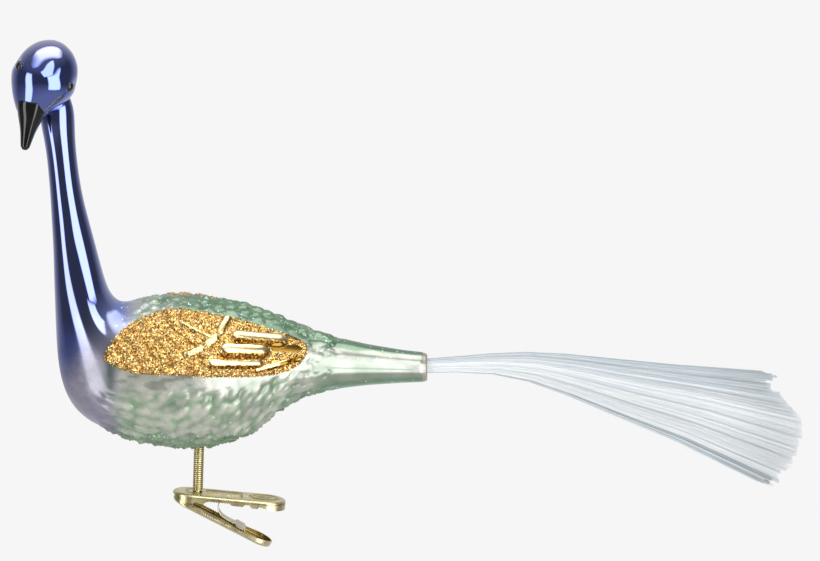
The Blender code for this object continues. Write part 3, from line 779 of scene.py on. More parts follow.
def lip_rings(turns):
    """Rings of the tail tube's fire-polished mouth, from deep in its bore to its outside."""
    profile = [(-7.0, MOUTH_BORE), (-1.6, MOUTH_BORE), (-0.6, 3.16), (-0.15, 3.3),
               (0.0, 3.5), (-0.12, 3.72), (-0.42, 3.94), (-0.85, 4.09), (-1.1, 4.14)]
    rings = []
    for x, radius in smooth_rows(profile, 26):
        circle = np.stack([np.full_like(turns, MOUTH_X + x), radius * np.sin(turns),
                           MOUTH_Z + radius * np.cos(turns)], -1)
        rings.append(circle)
    return np.array(rings)


def head_axes():
    """Directions to the side and to the brow of the face, square to the head's axis."""
    turn = Matrix.Rotation(math.radians(-FACE_TURN), 3, "Z")
    brow = turn @ Vector((0.0, -1.0, 0.0))
    brow = (brow - HEAD_AXIS * brow.dot(HEAD_AXIS)).normalized()
    return np.array(HEAD_AXIS.cross(brow)), np.array(brow)


def skull_points(steps, sides):
    """The egg of the head, turned about its axis and flattened towards the brow."""
    sideways, brow = head_axes()
    profile = softened(smooth_rows(HEAD_PROFILE, steps), 2.0)
    turns = full_turn(sides)
    radius = profile[:, 1][:, None, None]
    across = radius * np.cos(turns)[None, :, None] * sideways
    out = radius * np.sin(turns)[None, :, None] * brow * HEAD_FLATTENING
    centre = np.array(CROWN) + profile[:, 0][:, None, None] * np.array(HEAD_AXIS)
    return centre + np.array((0.5, 0.0, 0.0)) + across + out


def head_points():
    """The head: skull and snout run smoothly together, with a hollow in front of each eye."""
    sideways, brow = head_axes()
    forms = []
    for points in (skull_points(84, 112), snout_points(60, 72)):
        faces = tube_faces(*points.shape[:2])
        forms.append(BVHTree.FromPolygons(points.reshape(-1, 3).tolist(), faces))
    rows = []
    for tilt in np.linspace(0.02, math.pi - 0.02, 130):
        ring = []
        for turn in full_turn(168):
            way = -math.cos(tilt) * np.array(HEAD_AXIS) + math.sin(tilt) * (
                math.cos(turn) * sideways + math.sin(turn) * brow)
            reach = [form.ray_cast(HEAD_MIDDLE, way.tolist())[3] or 0.0 for form in forms]
            both = HEAD_BLEND * math.log(sum(math.exp(found / HEAD_BLEND) for found in reach))
            hollow = 0.0
            for middle, depth in EYE_HOLLOWS:
                off = math.remainder(turn - middle, 2 * math.pi)
                hollow += depth * math.exp(-((tilt - 1.42) / 0.15) ** 2 - (off / 0.2) ** 2)
            ring.append(np.array(HEAD_MIDDLE) + (both - hollow) * way)
        rows.append(ring)
    return np.array(rows)


def snout_points(steps, sides):
    """The narrowing front of the face that the beak grows out of, from inside the skull."""
    rows = smooth_rows(SNOUT_ROWS, steps)
    turns = full_turn(sides)
    circle = np.stack([np.cos(turns), HEAD_FLATTENING * np.sin(turns), -0.1 * np.cos(turns)], -1)
    return rows[:, None, :3] + rows[:, 3][:, None, None] * circle


def stem_matrix():
    """The stem's own frame: Z runs up through its coil."""
    lean = Matrix.Rotation(math.radians(STEM_LEAN), 4, "Y")
    return Matrix.Translation(STEM_FOOT) @ lean


def set_down(made, place, matrix):
    """Turn a mesh as a matrix does and move it to a place."""
    made.data.transform(Matrix.Translation(place * MM) @ matrix.to_3x3().to_4x4())


def glass_lift(rings, normals, raised, strength):
    """How far feathers, soft waves and the belly's pimples raise the glass."""
    x, z, nz = rings[..., 0], rings[..., 2], normals[..., 2]
    waves = 0.10 * cloud(rings * np.array((0.6, 1.0, 1.0)), 5.0, 2.0)
    waves *= ramp(x, -27.0, -18.0) * ramp(z, 64.0, 58.0)
    waves += 0.05 * cloud(rings * np.array((1.0, 1.0, 0.5)), 5.0, 4.0) * ramp(z, 50.0, 66.0)
    deep = 1 + 0.55 * ramp(nz, 0.45, 0.8) + 0.95 * ramp(-nz, 0.45, 0.8)
    pimples = cloud(rings, 1.0, 12.0) + 0.7 * cloud(rings, 0.55, 13.0)
    return (RELIEF * deep * strength * (raised - 0.45) + waves
            + 0.7 * pimples * strength * ramp(-nz, 0.5, 0.85))


def satin_share(rings, strength):
    """Where the lacquer is satin: the body, less so the tail tube, and not the neck."""
    x, z = rings[..., 0], rings[..., 2]
    satin = np.maximum(ramp(z, 54.0, 40.0), ramp(x, -26.0, -13.0) * ramp(z, 66.0, 60.0))
    return satin * (0.86 + 0.14 * strength) * (1 - 0.22 * ramp(x, 33.0, 42.0))


def speck_share(rings, normals):
    """How thickly fine glitter is sown: along the spine and on the root of the tail tube."""
    x, nz = rings[..., 0], normals[..., 2]
    body = (ramp(nz, 0.35, 0.8) + 0.2 * ramp(-nz, 0.35, 0.8)) * ramp(x, -22.0, -8.0)
    root = ramp(x, 60.0, 44.0) * ramp(x, 30.0, 38.0) * ramp(nz, 0.1, 0.5)
    return np.maximum(body, 0.8 * root)


def joined_and_drilled(skin):
    """Join the head to the neck and cut the hole that the stem goes up through."""
    head = head_points()
    skull = object_from("skull", head, tube_faces(*head.shape[:2]))
    bpy.ops.mesh.primitive_cylinder_add(
        vertices=48, radius=HOLE_RADIUS * MM, depth=HOLE_DEPTH * MM,
        location=(stem_matrix() @ Vector((0.0, 0.0, HOLE_HEIGHT))) * MM,
        rotation=(0.0, math.radians(STEM_LEAN), 0.0))
    drill = bpy.context.object
    for operation, tool in (("UNION", skull), ("DIFFERENCE", drill)):
        step = skin.modifiers.new(operation, "BOOLEAN")
        step.operation = operation
        step.object = tool
    applied(skin)
    for tool in (skull, drill):
        bpy.data.objects.remove(tool)
    skin.data.shade_smooth()


def build_glass(finish):
    """The blown bird: tail tube, feathered body, neck and head in one skin."""
    rings, turns = glass_rings()
    normals = ring_normals(rings)
    strength = relief_strength(rings, normals)
    raised, shade = feathers(rings, normals, turns, strength)
    lift = glass_lift(rings, normals, raised, strength)
    tint = glass_tint(rings, normals, raised, shade, strength)
    lip = lip_rings(turns)
    points = np.concatenate([lip, rings + normals * lift[..., None]])
    skin = object_from("bird_glass_skin", points, tube_faces(len(points), GLASS_SIDES))
    joined_and_drilled(skin)

    body = np.dstack([tint, satin_share(rings, strength), speck_share(rings, normals)])
    mouth = np.broadcast_to((*LIP_TINT, LIP_SATIN, 0.0), (*lip.shape[:2], 5))
    layers = np.concatenate([mouth, body]).reshape(-1, 5)
    spread_layers(skin, points.reshape(-1, 3), layers)
    sharpen_creases(skin, CREASES_ABOVE)
    dress(skin, finish, "silvered_glass", "bird", "bird_glass")


def spread_layers(skin, known, layers):
    """Carry tint, satin and specks over from the plain grid to the joined skin."""
    tree = KDTree(len(known))
    for i, point in enumerate(known.tolist()):
        tree.insert(point, i)
    tree.balance()
    places = [vertex.co / MM for vertex in skin.data.vertices]
    values = np.array([layers[tree.find(place)[1]] for place in places])
    height = np.array([place.z for place in places])
    tint = blend_rows(values[:, :3], NIGHT, ramp(height, 108.0, 118.0))
    # Painted highlight: the top of the head is painted a pale lavender.
    paint(skin, "tint", blend_rows(tint, CROWN_HIGHLIGHT_LAVENDER, 0.8 * ramp(height, 126.5, 133.0)))
    paint(skin, "satin", values[:, 3] * (1 - ramp(height, 100.0, 110.0)))
    paint(skin, "specks", values[:, 4])


def sharpen_creases(skin, above):
    """Keep the fold between head and neck crisp."""
    bm = bmesh.new()
    bm.from_mesh(skin.data)
    for edge in bm.edges:
        if edge.verts[0].co.z > above * MM and edge.is_manifold:
            edge.smooth = edge.calc_face_angle() < math.radians(32)
    bm.to_mesh(skin.data)
    bm.free()


# ---------------------------------------------------------------- face

def turned_points(profile, sides, start, end):
    """Rings of (along, radius) about the line from start to end, and their angles."""
    axis = (end - start).normalized()
    right = axis.cross(Vector((0.0, 1.0, 0.0))).normalized()
    front = axis.cross(right)
    turns = full_turn(sides)
    along = profile[:, 0][:, None, None] * np.array(axis)
    radius = profile[:, 1][:, None, None]
    circle = np.cos(turns)[:, None] * np.array(right) + np.sin(turns)[:, None] * np.array(front)
    return np.array(start) + along + radius * circle, turns


def build_beak(finish):
    """The enamelled beak: a cone with a culmen ridge, a gape line and a wavy painted edge."""
    length = (BEAK_TIP - BEAK_BASE).length
    rows = [(0.0, 4.6), (1.8, 4.2), (4.0, 3.5), (6.6, 2.6), (9.0, 1.95), (length - 1.5, 1.4),
            (length - 0.75, 1.15), (length - 0.25, 0.75), (length - 0.04, 0.35), (length, 0.05)]
    profile = smooth_rows(rows, 110)
    points, turns = turned_points(profile, 72, BEAK_BASE, BEAK_TIP)
    share = (profile[:, 0] / length)[:, None]
    middle = np.array(BEAK_BASE) + profile[:, 0][:, None] * np.array(
        (BEAK_TIP - BEAK_BASE).normalized())
    facing = unit(points - middle[:, None, :])
    ridge = np.exp((facing @ np.array((0.26, -0.97, 0.0)) - 1.0) / 0.03)
    gape = bell(facing[..., 1] + 0.25, 0.07) * ramp(share, 0.12, 0.3)
    wave = 0.12 * np.sin(3 * turns + 0.8)[None, :] * ramp(share, 0.35, 0.1)
    lift = 0.14 * ridge * profile[:, 1:] - 0.09 * gape * (1 - 0.7 * share) + wave
    points = points + facing * lift[..., None]
    beak = object_from("beak", points, tube_faces(*points.shape[:2]))
    dress(beak, finish, "black_enamel", "bird", "beak_enamel")


def build_eye(node, finish, seed, shift):
    """A raised drop of enamel, slightly uneven, set on the glass where its part lies."""
    low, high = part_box(node)
    centre = np.array((low + high) / 2) / MM + np.array(shift)
    out = unit(centre - np.array(HEAD_CENTRE))
    bm = bmesh.new()
    bmesh.ops.create_icosphere(bm, subdivisions=4, radius=1.0)
    sphere = np.array([vertex.co for vertex in bm.verts])
    faces = [[vertex.index for vertex in face.verts] for face in bm.faces]
    bm.free()
    points = EYE_RADIUS * sphere * (1 + 0.09 * cloud(sphere, 1.3, seed))[:, None]
    points = points - 0.3 * (points @ out)[:, None] * out
    eye = object_from(node + "_drop", centre - 0.25 * out + points, faces)
    dress(eye, finish, "black_enamel", "bird", node)


# ---------------------------------------------------------------- wings

# Spacing of the grid on which the glass behind a wing is read
SIDE_STEP = 0.25
WING_RINGS = 100
WING_SIDES = 420
WING_MIDDLE = (6.0, 47.0)
# The box round a wing as seen from the side: its low and high corner (x, z)
WING_BOX = ((-24.0, 37.5), (37.0, 58.0))
# Thickness of the coat, how deep its edge is sunk, and how deep its underside lies
COAT = 0.55
COAT_ROOT = 0.25
COAT_UNDER = 0.45
# Flight feathers of the wing: start and end (x, z), half width and height of each ridge
FLIGHT_RIDGES = [
    (13.6, 49.8, 29.6, 47.5, 1.8, 1.1),
    (10.2, 46.2, 24.6, 45.2, 2.3, 1.35),
    (6.8, 42.8, 22.8, 42.2, 1.4, 0.9),
    (20.0, 40.4, 34.0, 43.1, 0.85, 0.55),
]
# Bands across the wing's shoulder and grooves between its quills, given in the same way
CROSS_BANDS = [
    (13.2, 55.2, 9.8, 49.8, 1.3, 1.0),
    (10.2, 50.4, 5.4, 46.8, 1.3, 1.0),
    (6.2, 47.2, 0.2, 44.8, 1.1, 0.8),
    (8.2, 49.6, -0.8, 53.6, 0.6, 0.6),
]
QUILL_GROOVES = [
    (24.6, 46.4, 33.8, 45.2, 1.15, 0.5),
    (28.6, 49.3, 33.4, 47.6, 0.6, 0.3),
    (27.0, 41.5, 33.6, 43.6, 0.6, 0.25),
]


def side_depths(skin_points, faces):
    """Where the smooth glass lies behind each (x, z) of a regular grid, seen from -Y."""
    tree = BVHTree.FromPolygons(skin_points.reshape(-1, 3).tolist(), faces)
    xs = np.arange(-26.0, 38.01, SIDE_STEP)
    zs = np.arange(35.0, 60.01, SIDE_STEP)
    depths = np.full((len(xs), len(zs)), np.nan)
    for i, x in enumerate(xs):
        for j, z in enumerate(zs):
            hit = tree.ray_cast(Vector((x, -40.0, z)), Vector((0.0, 1.0, 0.0)))[0]
            if hit:
                depths[i, j] = hit.y
        missing = np.isnan(depths[i])
        known = np.flatnonzero(~missing)
        depths[i, missing] = np.interp(np.flatnonzero(missing), known, depths[i, known])
    return xs, zs, depths


def bilinear(xs, zs, values, x, z):
    """Read a regular grid between its points."""
    u = np.clip((x - xs[0]) / (xs[1] - xs[0]), 0, len(xs) - 1.001)
    v = np.clip((z - zs[0]) / (zs[1] - zs[0]), 0, len(zs) - 1.001)
    i, j = u.astype(int), v.astype(int)
    fu, fv = u - i, v - j
    if values.ndim == 3:
        fu, fv = fu[..., None], fv[..., None]
    low = values[i, j] * (1 - fu) + values[i + 1, j] * fu
    high = values[i, j + 1] * (1 - fu) + values[i + 1, j + 1] * fu
    return low * (1 - fv) + high * fv


def ridge_shape(x, z, row):
    """A rounded ridge along a line: its height, its body, and the side a point lies on."""
    x0, z0, x1, z1, half, height = row
    dx, dz = x1 - x0, z1 - z0
    length = math.hypot(dx, dz)
    u = ((x - x0) * dx + (z - z0) * dz) / length
    v = ((z - z0) * dx - (x - x0) * dz) / length / half
    taper = np.clip(np.minimum(u / half, (length - u) / half / 1.7), -1.0, 1.0)
    body = np.maximum(1 - v ** 2 - np.where(taper < 1, 1 - taper, 0.0) ** 2, 0)
    return height * body ** 0.6, body, v


def coat_relief(x, z):
    """The wing's coat: height above the glass, bare mirror gold, and gold darkened by painted
    shade.
    """
    # shaded is painted shade: under each ridge and band, in the grooves and in the quills' troughs.
    height, mirror, shaded = np.zeros((3, *x.shape))
    ragged = 0.10 * cloud(np.stack([x, x * 0, z], -1), 0.7, 2.0)
    for row in FLIGHT_RIDGES:
        rise, body, side = ridge_shape(x, z, row)
        bare = ramp(body + ragged, 0.12, 0.22) * ramp(side + 3 * ragged, -0.35, -0.15)
        height = np.maximum(height, rise)
        mirror = np.maximum(mirror, bare)
        shaded = np.maximum(shaded, ramp(body, 0.02, 0.2) * ramp(side, 0.05, -0.35))
    for row in QUILL_GROOVES:
        rise, body, _ = ridge_shape(x, z, row)
        height = height - rise * (height < 0.2)
        mirror = np.maximum(mirror, ramp(body, 0.15, 0.4))
        shaded = np.maximum(shaded, ramp(body, 0.1, 0.3))
    for row in CROSS_BANDS:
        rise, body, side = ridge_shape(x, z, row)
        height = np.maximum(height, rise)
        mirror = np.maximum(mirror * (rise < 0.05), 0.8 * ramp(body, 0.3, 0.6))
        shaded = np.maximum(shaded, 0.6 * ramp(body, 0.02, 0.2) * ramp(side, 0.1, 0.5))
    front = ramp(x, 12.0, 4.0)
    quill = np.abs(np.sin((x * 0.75 + z * 0.66) * 0.95 + 0.7 * np.sin(z * 0.5)))
    height = height + 0.6 * front * quill * (height < 0.3)
    shaded = np.maximum(shaded, 0.5 * front * ramp(quill, 0.35, 0.05))
    return height, mirror, shaded


def wing_surface(x, z, fields):
    """Points of the glass under the left wing and its outward normals."""
    xs, zs, depths, normals = fields
    y = bilinear(xs, zs, depths, x, z)
    return np.stack([x, y, z], -1), unit(bilinear(xs, zs, normals, x, z))


def wing_fields(rings):
    """Depth and facing of the glass behind each place of the left wing."""
    xs, zs, depths = side_depths(rings, grid_faces(*rings.shape[:2]))
    slope_x, slope_z = np.gradient(depths, xs[1] - xs[0], zs[1] - zs[0])
    facing = np.stack([slope_x, -np.ones_like(slope_x), slope_z], -1)
    return xs, zs, depths, facing


def coat_height(x, z, relief, outline):
    """Height of the coat, and how far inside its outline each place lies."""
    edge = ramp(edge_distance(x, z, outline[::4]), 0.0, 1.1)
    return edge * (COAT_ROOT + COAT + relief) - COAT_ROOT, edge


def ragged_outline(side):
    """The outline of one wing's coat, uneven as a brush leaves it."""
    outline = wing_edge(WING_SIDES)
    if side > 0:
        near_spine = ramp(outline[:, 0], -9.0, -2.0) * ramp(outline[:, 0], 17.0, 10.0)
        outline[:, 1] += 1.9 * near_spine * ramp(outline[:, 1], 50.0, 56.0)
    wobble = 0.22 * cloud(np.insert(outline, 1, side * 5.0, axis=1), 1.3, 4.0)
    return outline + unit(outline - np.array(WING_MIDDLE)) * wobble[:, None]


def build_wing_coat(side, fields, outline, finish, name, node):
    """The coat of one wing, with mirror-gilt ridges. The left wing has side -1."""
    shares = np.linspace(0.0, 1.0, WING_RINGS) ** 0.85
    shares[0] = 0.004
    flat = np.array(WING_MIDDLE) + shares[:, None, None] * (outline - np.array(WING_MIDDLE))
    x, z = flat[..., 0], flat[..., 1]
    base, normal = wing_surface(x, z, fields)
    relief, mirror, shaded = coat_relief(x, z)
    height, edge = coat_height(x, z, relief, outline)
    grains = cloud(base, 0.55, 5.0 + side) + 0.6 * cloud(base, 0.28, 9.0 + side)
    mirror = mirror * ramp(edge, 0.3, 0.8) * ramp(cloud(base, 2.2, 6.0), -0.62, -0.4)
    height = height + 0.17 * grains * (1 - mirror) * edge
    top = base + normal * height[..., None]
    under = base[::-12] - normal[::-12] * COAT_UNDER
    points = np.concatenate([top, under]) * np.array((1.0, -side, 1.0))
    wing = object_from(name, points, tube_faces(len(points), WING_SIDES))
    plain = np.zeros(under.shape[:2])
    paint(wing, "mirror", np.concatenate([mirror, plain]).ravel())
    paint(wing, "shaded", np.concatenate([shaded, plain]).ravel())
    dress(wing, finish, "gold_glitter", "bird", node)


def build_wing_flakes(side, fields, outline, finish, name):
    """The loose flakes on one wing: none on the mirror gold, darker ones in clumps."""
    rng = np.random.default_rng(11 if side < 0 else 12)
    flip = np.array((1.0, -side, 1.0))
    spots = rng.uniform(*WING_BOX, (FLAKES * 3, 2))
    depth = edge_distance(spots[:, 0], spots[:, 1], outline[::4])
    x, z = spots[depth > 0.02][:FLAKES].T
    relief, mirror, shaded = coat_relief(x, z)
    kept = rng.random(len(x)) > mirror * 1.6
    x, z, relief, shaded = x[kept], z[kept], relief[kept], shaded[kept]
    base, normal = wing_surface(x, z, fields)
    clumps = cloud(base, 1.5, 21.0 + side) + 0.6 * cloud(base, 0.7, 23.0 + side)
    # Random darker clumps are added to the painted shade under the ridges and in the grooves.
    shaded = np.maximum(shaded, 0.75 * ramp(clumps, 0.1, 0.75))
    lift = coat_height(x, z, relief, outline)[0] + rng.uniform(-0.05, 0.16, len(x))
    places = (base + normal * lift[:, None]) * flip
    flakes = build_flakes(name + "_flakes", places, normal * flip, rng, shaded=shaded)
    dress(flakes, finish, "gold_glitter", "bird")


FLAKE_COLOURS = np.array([
    (1.0, 0.70, 0.26), (1.0, 0.62, 0.18), (1.0, 0.86, 0.50), (0.95, 0.45, 0.12),
    (0.62, 0.34, 0.08), (0.72, 0.86, 0.36), (0.98, 0.60, 0.50),
])
FLAKE_SHARES = (0.34, 0.22, 0.17, 0.12, 0.07, 0.05, 0.03)
FLAKES = 6200
FLAKE_HALF = 0.022
SPECK_COLOURS = np.array([
    (0.75, 0.95, 0.85), (0.6, 0.85, 1.0), (0.95, 0.9, 0.7), (0.9, 0.6, 0.6),
])
SPECK_SHARES = (0.3, 0.4, 0.2, 0.1)


def build_flakes(name, places, normals, rng, spread=0.5, colours=FLAKE_COLOURS,
                 shares=FLAKE_SHARES, size=(0.15, 0.29), shaded=0.0):
    """Thin hexagonal glitter flakes, each lying nearly flat on the surface."""
    count = len(places)
    up = unit(normals + rng.normal(0.0, spread, (count, 3)))
    right = unit(np.cross(up, rng.normal(0.0, 1.0, (count, 3))))
    front = np.cross(up, right)
    radius = rng.uniform(*size, count)[:, None]
    corners = [
        places + (math.cos(turn) * right + math.sin(turn) * front) * radius + up * level
        for level in (-FLAKE_HALF, FLAKE_HALF) for turn in full_turn(6)
    ]
    points = np.stack(corners, axis=1).reshape(-1, 3)
    flake = [[5, 4, 3, 2, 1, 0], [6, 7, 8, 9, 10, 11]]
    flake += [[k, (k + 1) % 6, (k + 1) % 6 + 6, k + 6] for k in range(6)]
    faces = [[12 * i + corner for corner in face] for i in range(count) for face in flake]
    made = object_from(name, points, faces, outward=False)
    made.data.shade_flat()
    picked = colours[rng.choice(len(colours), count, p=shares)]
    picked = picked * rng.uniform(0.4, 0.9, (count, 1))
    # Flakes turn browner with painted shade and in the random darker clumps.
    shade_and_clumps = np.broadcast_to(np.clip(shaded, 0, 1), count)[:, None]
    picked = picked * (1 - shade_and_clumps * np.array((0.35, 0.55, 0.75)))
    paint(made, "tint", np.repeat(picked, 12, axis=0))
    return made


def build_specks(rings, normals, finish):
    """Fine iridescent glitter caught along the spine and on the root of the tail tube."""
    rng = np.random.default_rng(31)
    x, nz = rings[..., 0], normals[..., 2]
    weight = ramp(nz, 0.45, 0.8) * ramp(x, -16.0, -6.0) * ramp(x, 42.0, 30.0)
    weight += 0.5 * ramp(x, 56.0, 42.0) * ramp(x, 30.0, 38.0) * ramp(nz, 0.2, 0.5)
    weight += 0.08 * ramp(-nz, 0.6, 0.9) * ramp(x, -20.0, -8.0) * ramp(x, 34.0, 20.0)
    chance = weight.ravel() / weight.sum()
    picked = rng.choice(len(chance), 300, replace=False, p=chance)
    places = rings.reshape(-1, 3)[picked]
    outward = normals.reshape(-1, 3)[picked]
    made = build_flakes("spine_specks", places + outward * 0.12, outward, rng, 0.4,
                        SPECK_COLOURS, SPECK_SHARES, (0.08, 0.15))
    dress(made, finish, "gold_glitter", "bird")


# ---------------------------------------------------------------- tail

def fan_rows(x):
    """The fan's sections at each x: x, top, bottom and half depth."""
    places = np.array([row[0] for row in FAN_SECTIONS])
    position = np.interp(x.ravel(), places, np.arange(len(places)))
    return natural_spline(FAN_SECTIONS, position).reshape(*x.shape, 4)


def fibre_ends(tip, rng):
    """Where each fibre ends: tufts of them are cut alike, and more raggedly at both edges."""
    tuft = ((tip + 1) / 2 * TUFTS).astype(int)
    edge = np.linspace(-1, 1, TUFTS)
    cut = rng.normal(0.0, 0.4, TUFTS) * (1 + 2.6 * ramp(edge, 0.5, 0.8) + ramp(edge, -0.6, -0.85))
    cut -= rng.exponential(2.6, TUFTS) * ramp(edge, 0.6, 0.95)
    cut -= rng.exponential(1.4, TUFTS) * ramp(edge, -0.75, -0.95)
    return tuft, cut[tuft] - rng.exponential(0.12, len(tip))


def fibre_tint(across, tip, tuft, rng):
    """Colour of each fibre: greyer near the top, with a dark line near the lower edge."""
    tint = blend_rows(FIBRE_PALE, FIBRE_COOL, ramp(across, 0.25, 0.75))
    tint = blend_rows(tint, FIBRE_DARK, 0.6 * ramp(across, 0.9, 1.0))
    tint = blend_rows(tint, FIBRE_COOL, ramp(across, -0.78, -0.88))
    tint = blend_rows(tint, FIBRE_DARK, 0.9 * bell(across + 0.82, 0.03))
    lower = ramp(tip, -0.7, -0.85)
    stripes = 1 + rng.uniform(-0.35, 0.2, TUFTS)[tuft] * (0.35 + lower)
    return tint * (stripes * rng.uniform(0.9, 1.08, len(across)))[:, None]


def build_tail(finish):
    """Fine straight fibres spreading from the tube to a ragged end."""
    rng = np.random.default_rng(5)
    centres = np.sort(rng.uniform(-1.0, 1.0, STRANDS))
    strand = rng.integers(0, STRANDS, FIBRES)
    loose = rng.random(FIBRES) < 0.45
    across = np.where(loose, rng.uniform(-1.0, 1.0, FIBRES),
                      centres[strand] + rng.normal(0.0, 0.012, FIBRES))
    across = np.clip(across, -0.995, 0.995)
    through = rng.uniform(-1.0, 1.0, FIBRES) * np.sqrt(1 - across ** 2)
    drift = rng.normal(0.0, 0.012, FIBRES)
    tip = np.clip(across + drift, -0.999, 0.999)
    tuft, ends = fibre_ends(tip, rng)
    start = FAN_SECTIONS[0][0]
    crest = np.interp(tip, *np.transpose(FAN_ENDS)) + ends
    x = start + (crest - start)[:, None] * FIBRE_LEVELS[None, :]
    rows = fan_rows(np.minimum(x, FAN_SECTIONS[-1][0]))
    middle, half = (rows[..., 1] + rows[..., 2]) / 2, (rows[..., 1] - rows[..., 2]) / 2
    place = np.clip(across[:, None] + drift[:, None] * FIBRE_LEVELS, -1.0, 1.0)
    centre = np.stack([x, through[:, None] * rows[..., 3], middle + place * half], -1)
    radius = rng.uniform(0.045, 0.075, FIBRES)
    rings = []
    for corner in full_turn(3):
        turn = corner + rng.uniform(0, 2 * math.pi, FIBRES)
        offset = np.stack([np.zeros(FIBRES), np.cos(turn), np.sin(turn)], -1)
        rings.append(centre + (offset * radius[:, None])[:, None, :])
    size = 3 * len(FIBRE_LEVELS)
    fibre = tube_faces(len(FIBRE_LEVELS), 3)
    faces = [[size * i + corner for corner in face] for i in range(FIBRES) for face in fibre]
    tail = object_from("spun_glass_fibres", np.stack(rings, axis=2), faces, outward=False)
    paint(tail, "tint", np.repeat(fibre_tint(across, tip, tuft, rng), size, axis=0))
    dress(tail, finish, "spun_glass", "bird", "tail_fibres")


# ---------------------------------------------------------------- stem

def build_coil(finish):
    """The close-wound stem in two lengths, split midway between its two joints."""
    matrix = stem_matrix()
    split = (BENDS[0] + BENDS[1]) / 2
    split_turn = round((split - WIRE_RADIUS) / COIL_PITCH)
    jobs = (
        ("stem_coil_lower", -1, split_turn, "clip_upper", "stem", BENDS[0]),
        ("stem_coil_upper", split_turn, COIL_TURNS, "stem", "bird", BENDS[1]),
    )
    for name, first, last, below, above, bend in jobs:
        turn = 2 * math.pi * np.linspace(first, last, (last - first) * 28 + 1)
        height = WIRE_RADIUS + COIL_PITCH * turn / (2 * math.pi)
        outward = np.stack([np.cos(turn), np.sin(turn), np.zeros_like(turn)], -1)
        middle = (COIL_RADIUS - WIRE_RADIUS) * outward + height[:, None] * np.array((0.0, 0.0, 1.0))
        offsets = [math.cos(angle) * outward + math.sin(angle) * np.array((0.0, 0.0, 1.0))
                   for angle in full_turn(10)]
        points = np.stack([middle + WIRE_RADIUS * offset for offset in offsets], axis=1)
        coil = object_from(name, points, tube_faces(len(points), 10))
        set_down(coil, STEM_FOOT, matrix)
        dress(coil, finish, "brass")
        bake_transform(coil)
    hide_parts("coil_spring")


# ---------------------------------------------------------------- clip

# Points along each side of a shell's outline, and round each of its bows
SIDE_STEPS = 170
BOW_STEPS = 44


def shell_matrix(slope):
    """A shell's own frame: its origin at the pivot, X along the shell to its handle."""
    return Matrix.Translation(PIVOT) @ Matrix.Rotation(math.radians(slope), 4, "Y")


def stadium_ring(ends, width, inset):
    """Points round a strip with round ends, a given distance inside its outline."""
    radius = width / 2 - inset
    left, right = ends[0] + width / 2, ends[1] - width / 2
    turns = np.linspace(-math.pi / 2, math.pi / 2, BOW_STEPS, endpoint=False)
    run = np.linspace(right, left, SIDE_STEPS, endpoint=False)
    half = [np.stack([right + radius * np.cos(turns), radius * np.sin(turns)], -1),
            np.stack([run, np.full(SIDE_STEPS, radius)], -1),
            np.stack([left - radius * np.cos(turns), -radius * np.sin(turns)], -1),
            np.stack([run[::-1] - (run[0] - run[1]), np.full(SIDE_STEPS, -radius)], -1)]
    return np.concatenate(half)


def teeth(start, end, height, depth):
    """Points of a toothed edge between two x."""
    count = round((end - start) / TOOTH_PITCH)
    step = (end - start) / count
    edge = []
    for i in range(count):
        edge += [(start + step * i, height), (start + step * (i + 0.5), height + depth)]
    return edge


def upper_edge():
    """Lower edge of the upper shell's flange, from its lip to the end of its handle."""
    edge = [(-10.0, 2.45), (-7.4, 2.45), (-5.0, 0.5)]
    edge += teeth(-4.6, -1.8, 0.5, 0.6)
    edge += [(-1.5, 1.3), (-0.6, 0.9), (0.4, 1.0), (EAR_HALF, 1.7)]
    edge += teeth(1.8, 8.2, 1.7, 0.25)
    edge += [(8.4, 1.3), (11.6, 1.2), (12.2, 1.8), (13.6, 1.9), (14.0, 1.1), (15.8, 1.0)]
    edge += [(16.4, 1.6), (18.0, 1.3), (20.0, 0.7), (26.0, 0.6)]
    return np.array(edge)


def lower_edge():
    """Upper edge of the lower shell's flange, from its lip to the end of its handle."""
    edge = [(-10.0, -0.7), (-5.2, -0.7)]
    edge += teeth(-5.0, -1.8, -0.5, -0.8)
    edge += [(-1.5, -1.0), (-0.6, -0.8), (0.4, -0.8), (EAR_HALF, -1.2)]
    edge += teeth(1.8, 8.2, -1.1, -0.15)
    edge += [(8.8, -1.1), (9.6, RIM), (15.0, RIM), (20.0, -0.6), (26.0, -0.4)]
    return np.array(edge)


def pressed_box(x, y, x0, x1, half):
    """A pressed rectangle: 1 inside, 0 outside, soft at its edges."""
    soft = 0.22
    return (ramp(x, x0 - soft, x0 + soft) * ramp(x, x1 + soft, x1 - soft)
            * ramp(np.abs(y), half + soft, half - soft))


def upper_emboss(x, y):
    """Pressed channel, a plain oval bead with a small boss in it, and arcs round the stem."""
    channel = -0.34 * pressed_box(x, y, 1.0, 11.2, 3.7)
    oval = np.hypot((x - 17.6) / 3.7, y / 3.1)
    bead = 0.3 * bell(oval - 1.0, 0.12) + 0.25 * ramp(oval, 0.62, 0.3)
    distance = np.hypot(x + 1.1, y)
    arcs = 0.2 * bell(distance - 3.6, 0.3) * ramp(x, -0.6, -1.6)
    return channel + bead + arcs


def lower_emboss(x, y):
    """A stiffening channel along the outside of the lower shell."""
    return -0.2 * pressed_box(x, y, -2.0, 15.0, 2.4)


def knurl(x, z):
    """Fine crossed scoring on the flanks of the lower shell."""
    zone = ramp(x, 0.8, 1.8) * ramp(x, 10.6, 9.4)
    return 0.035 * zone * (np.sin(x * 11.0 + z * 7.0) + np.sin(x * 11.0 - z * 9.0))


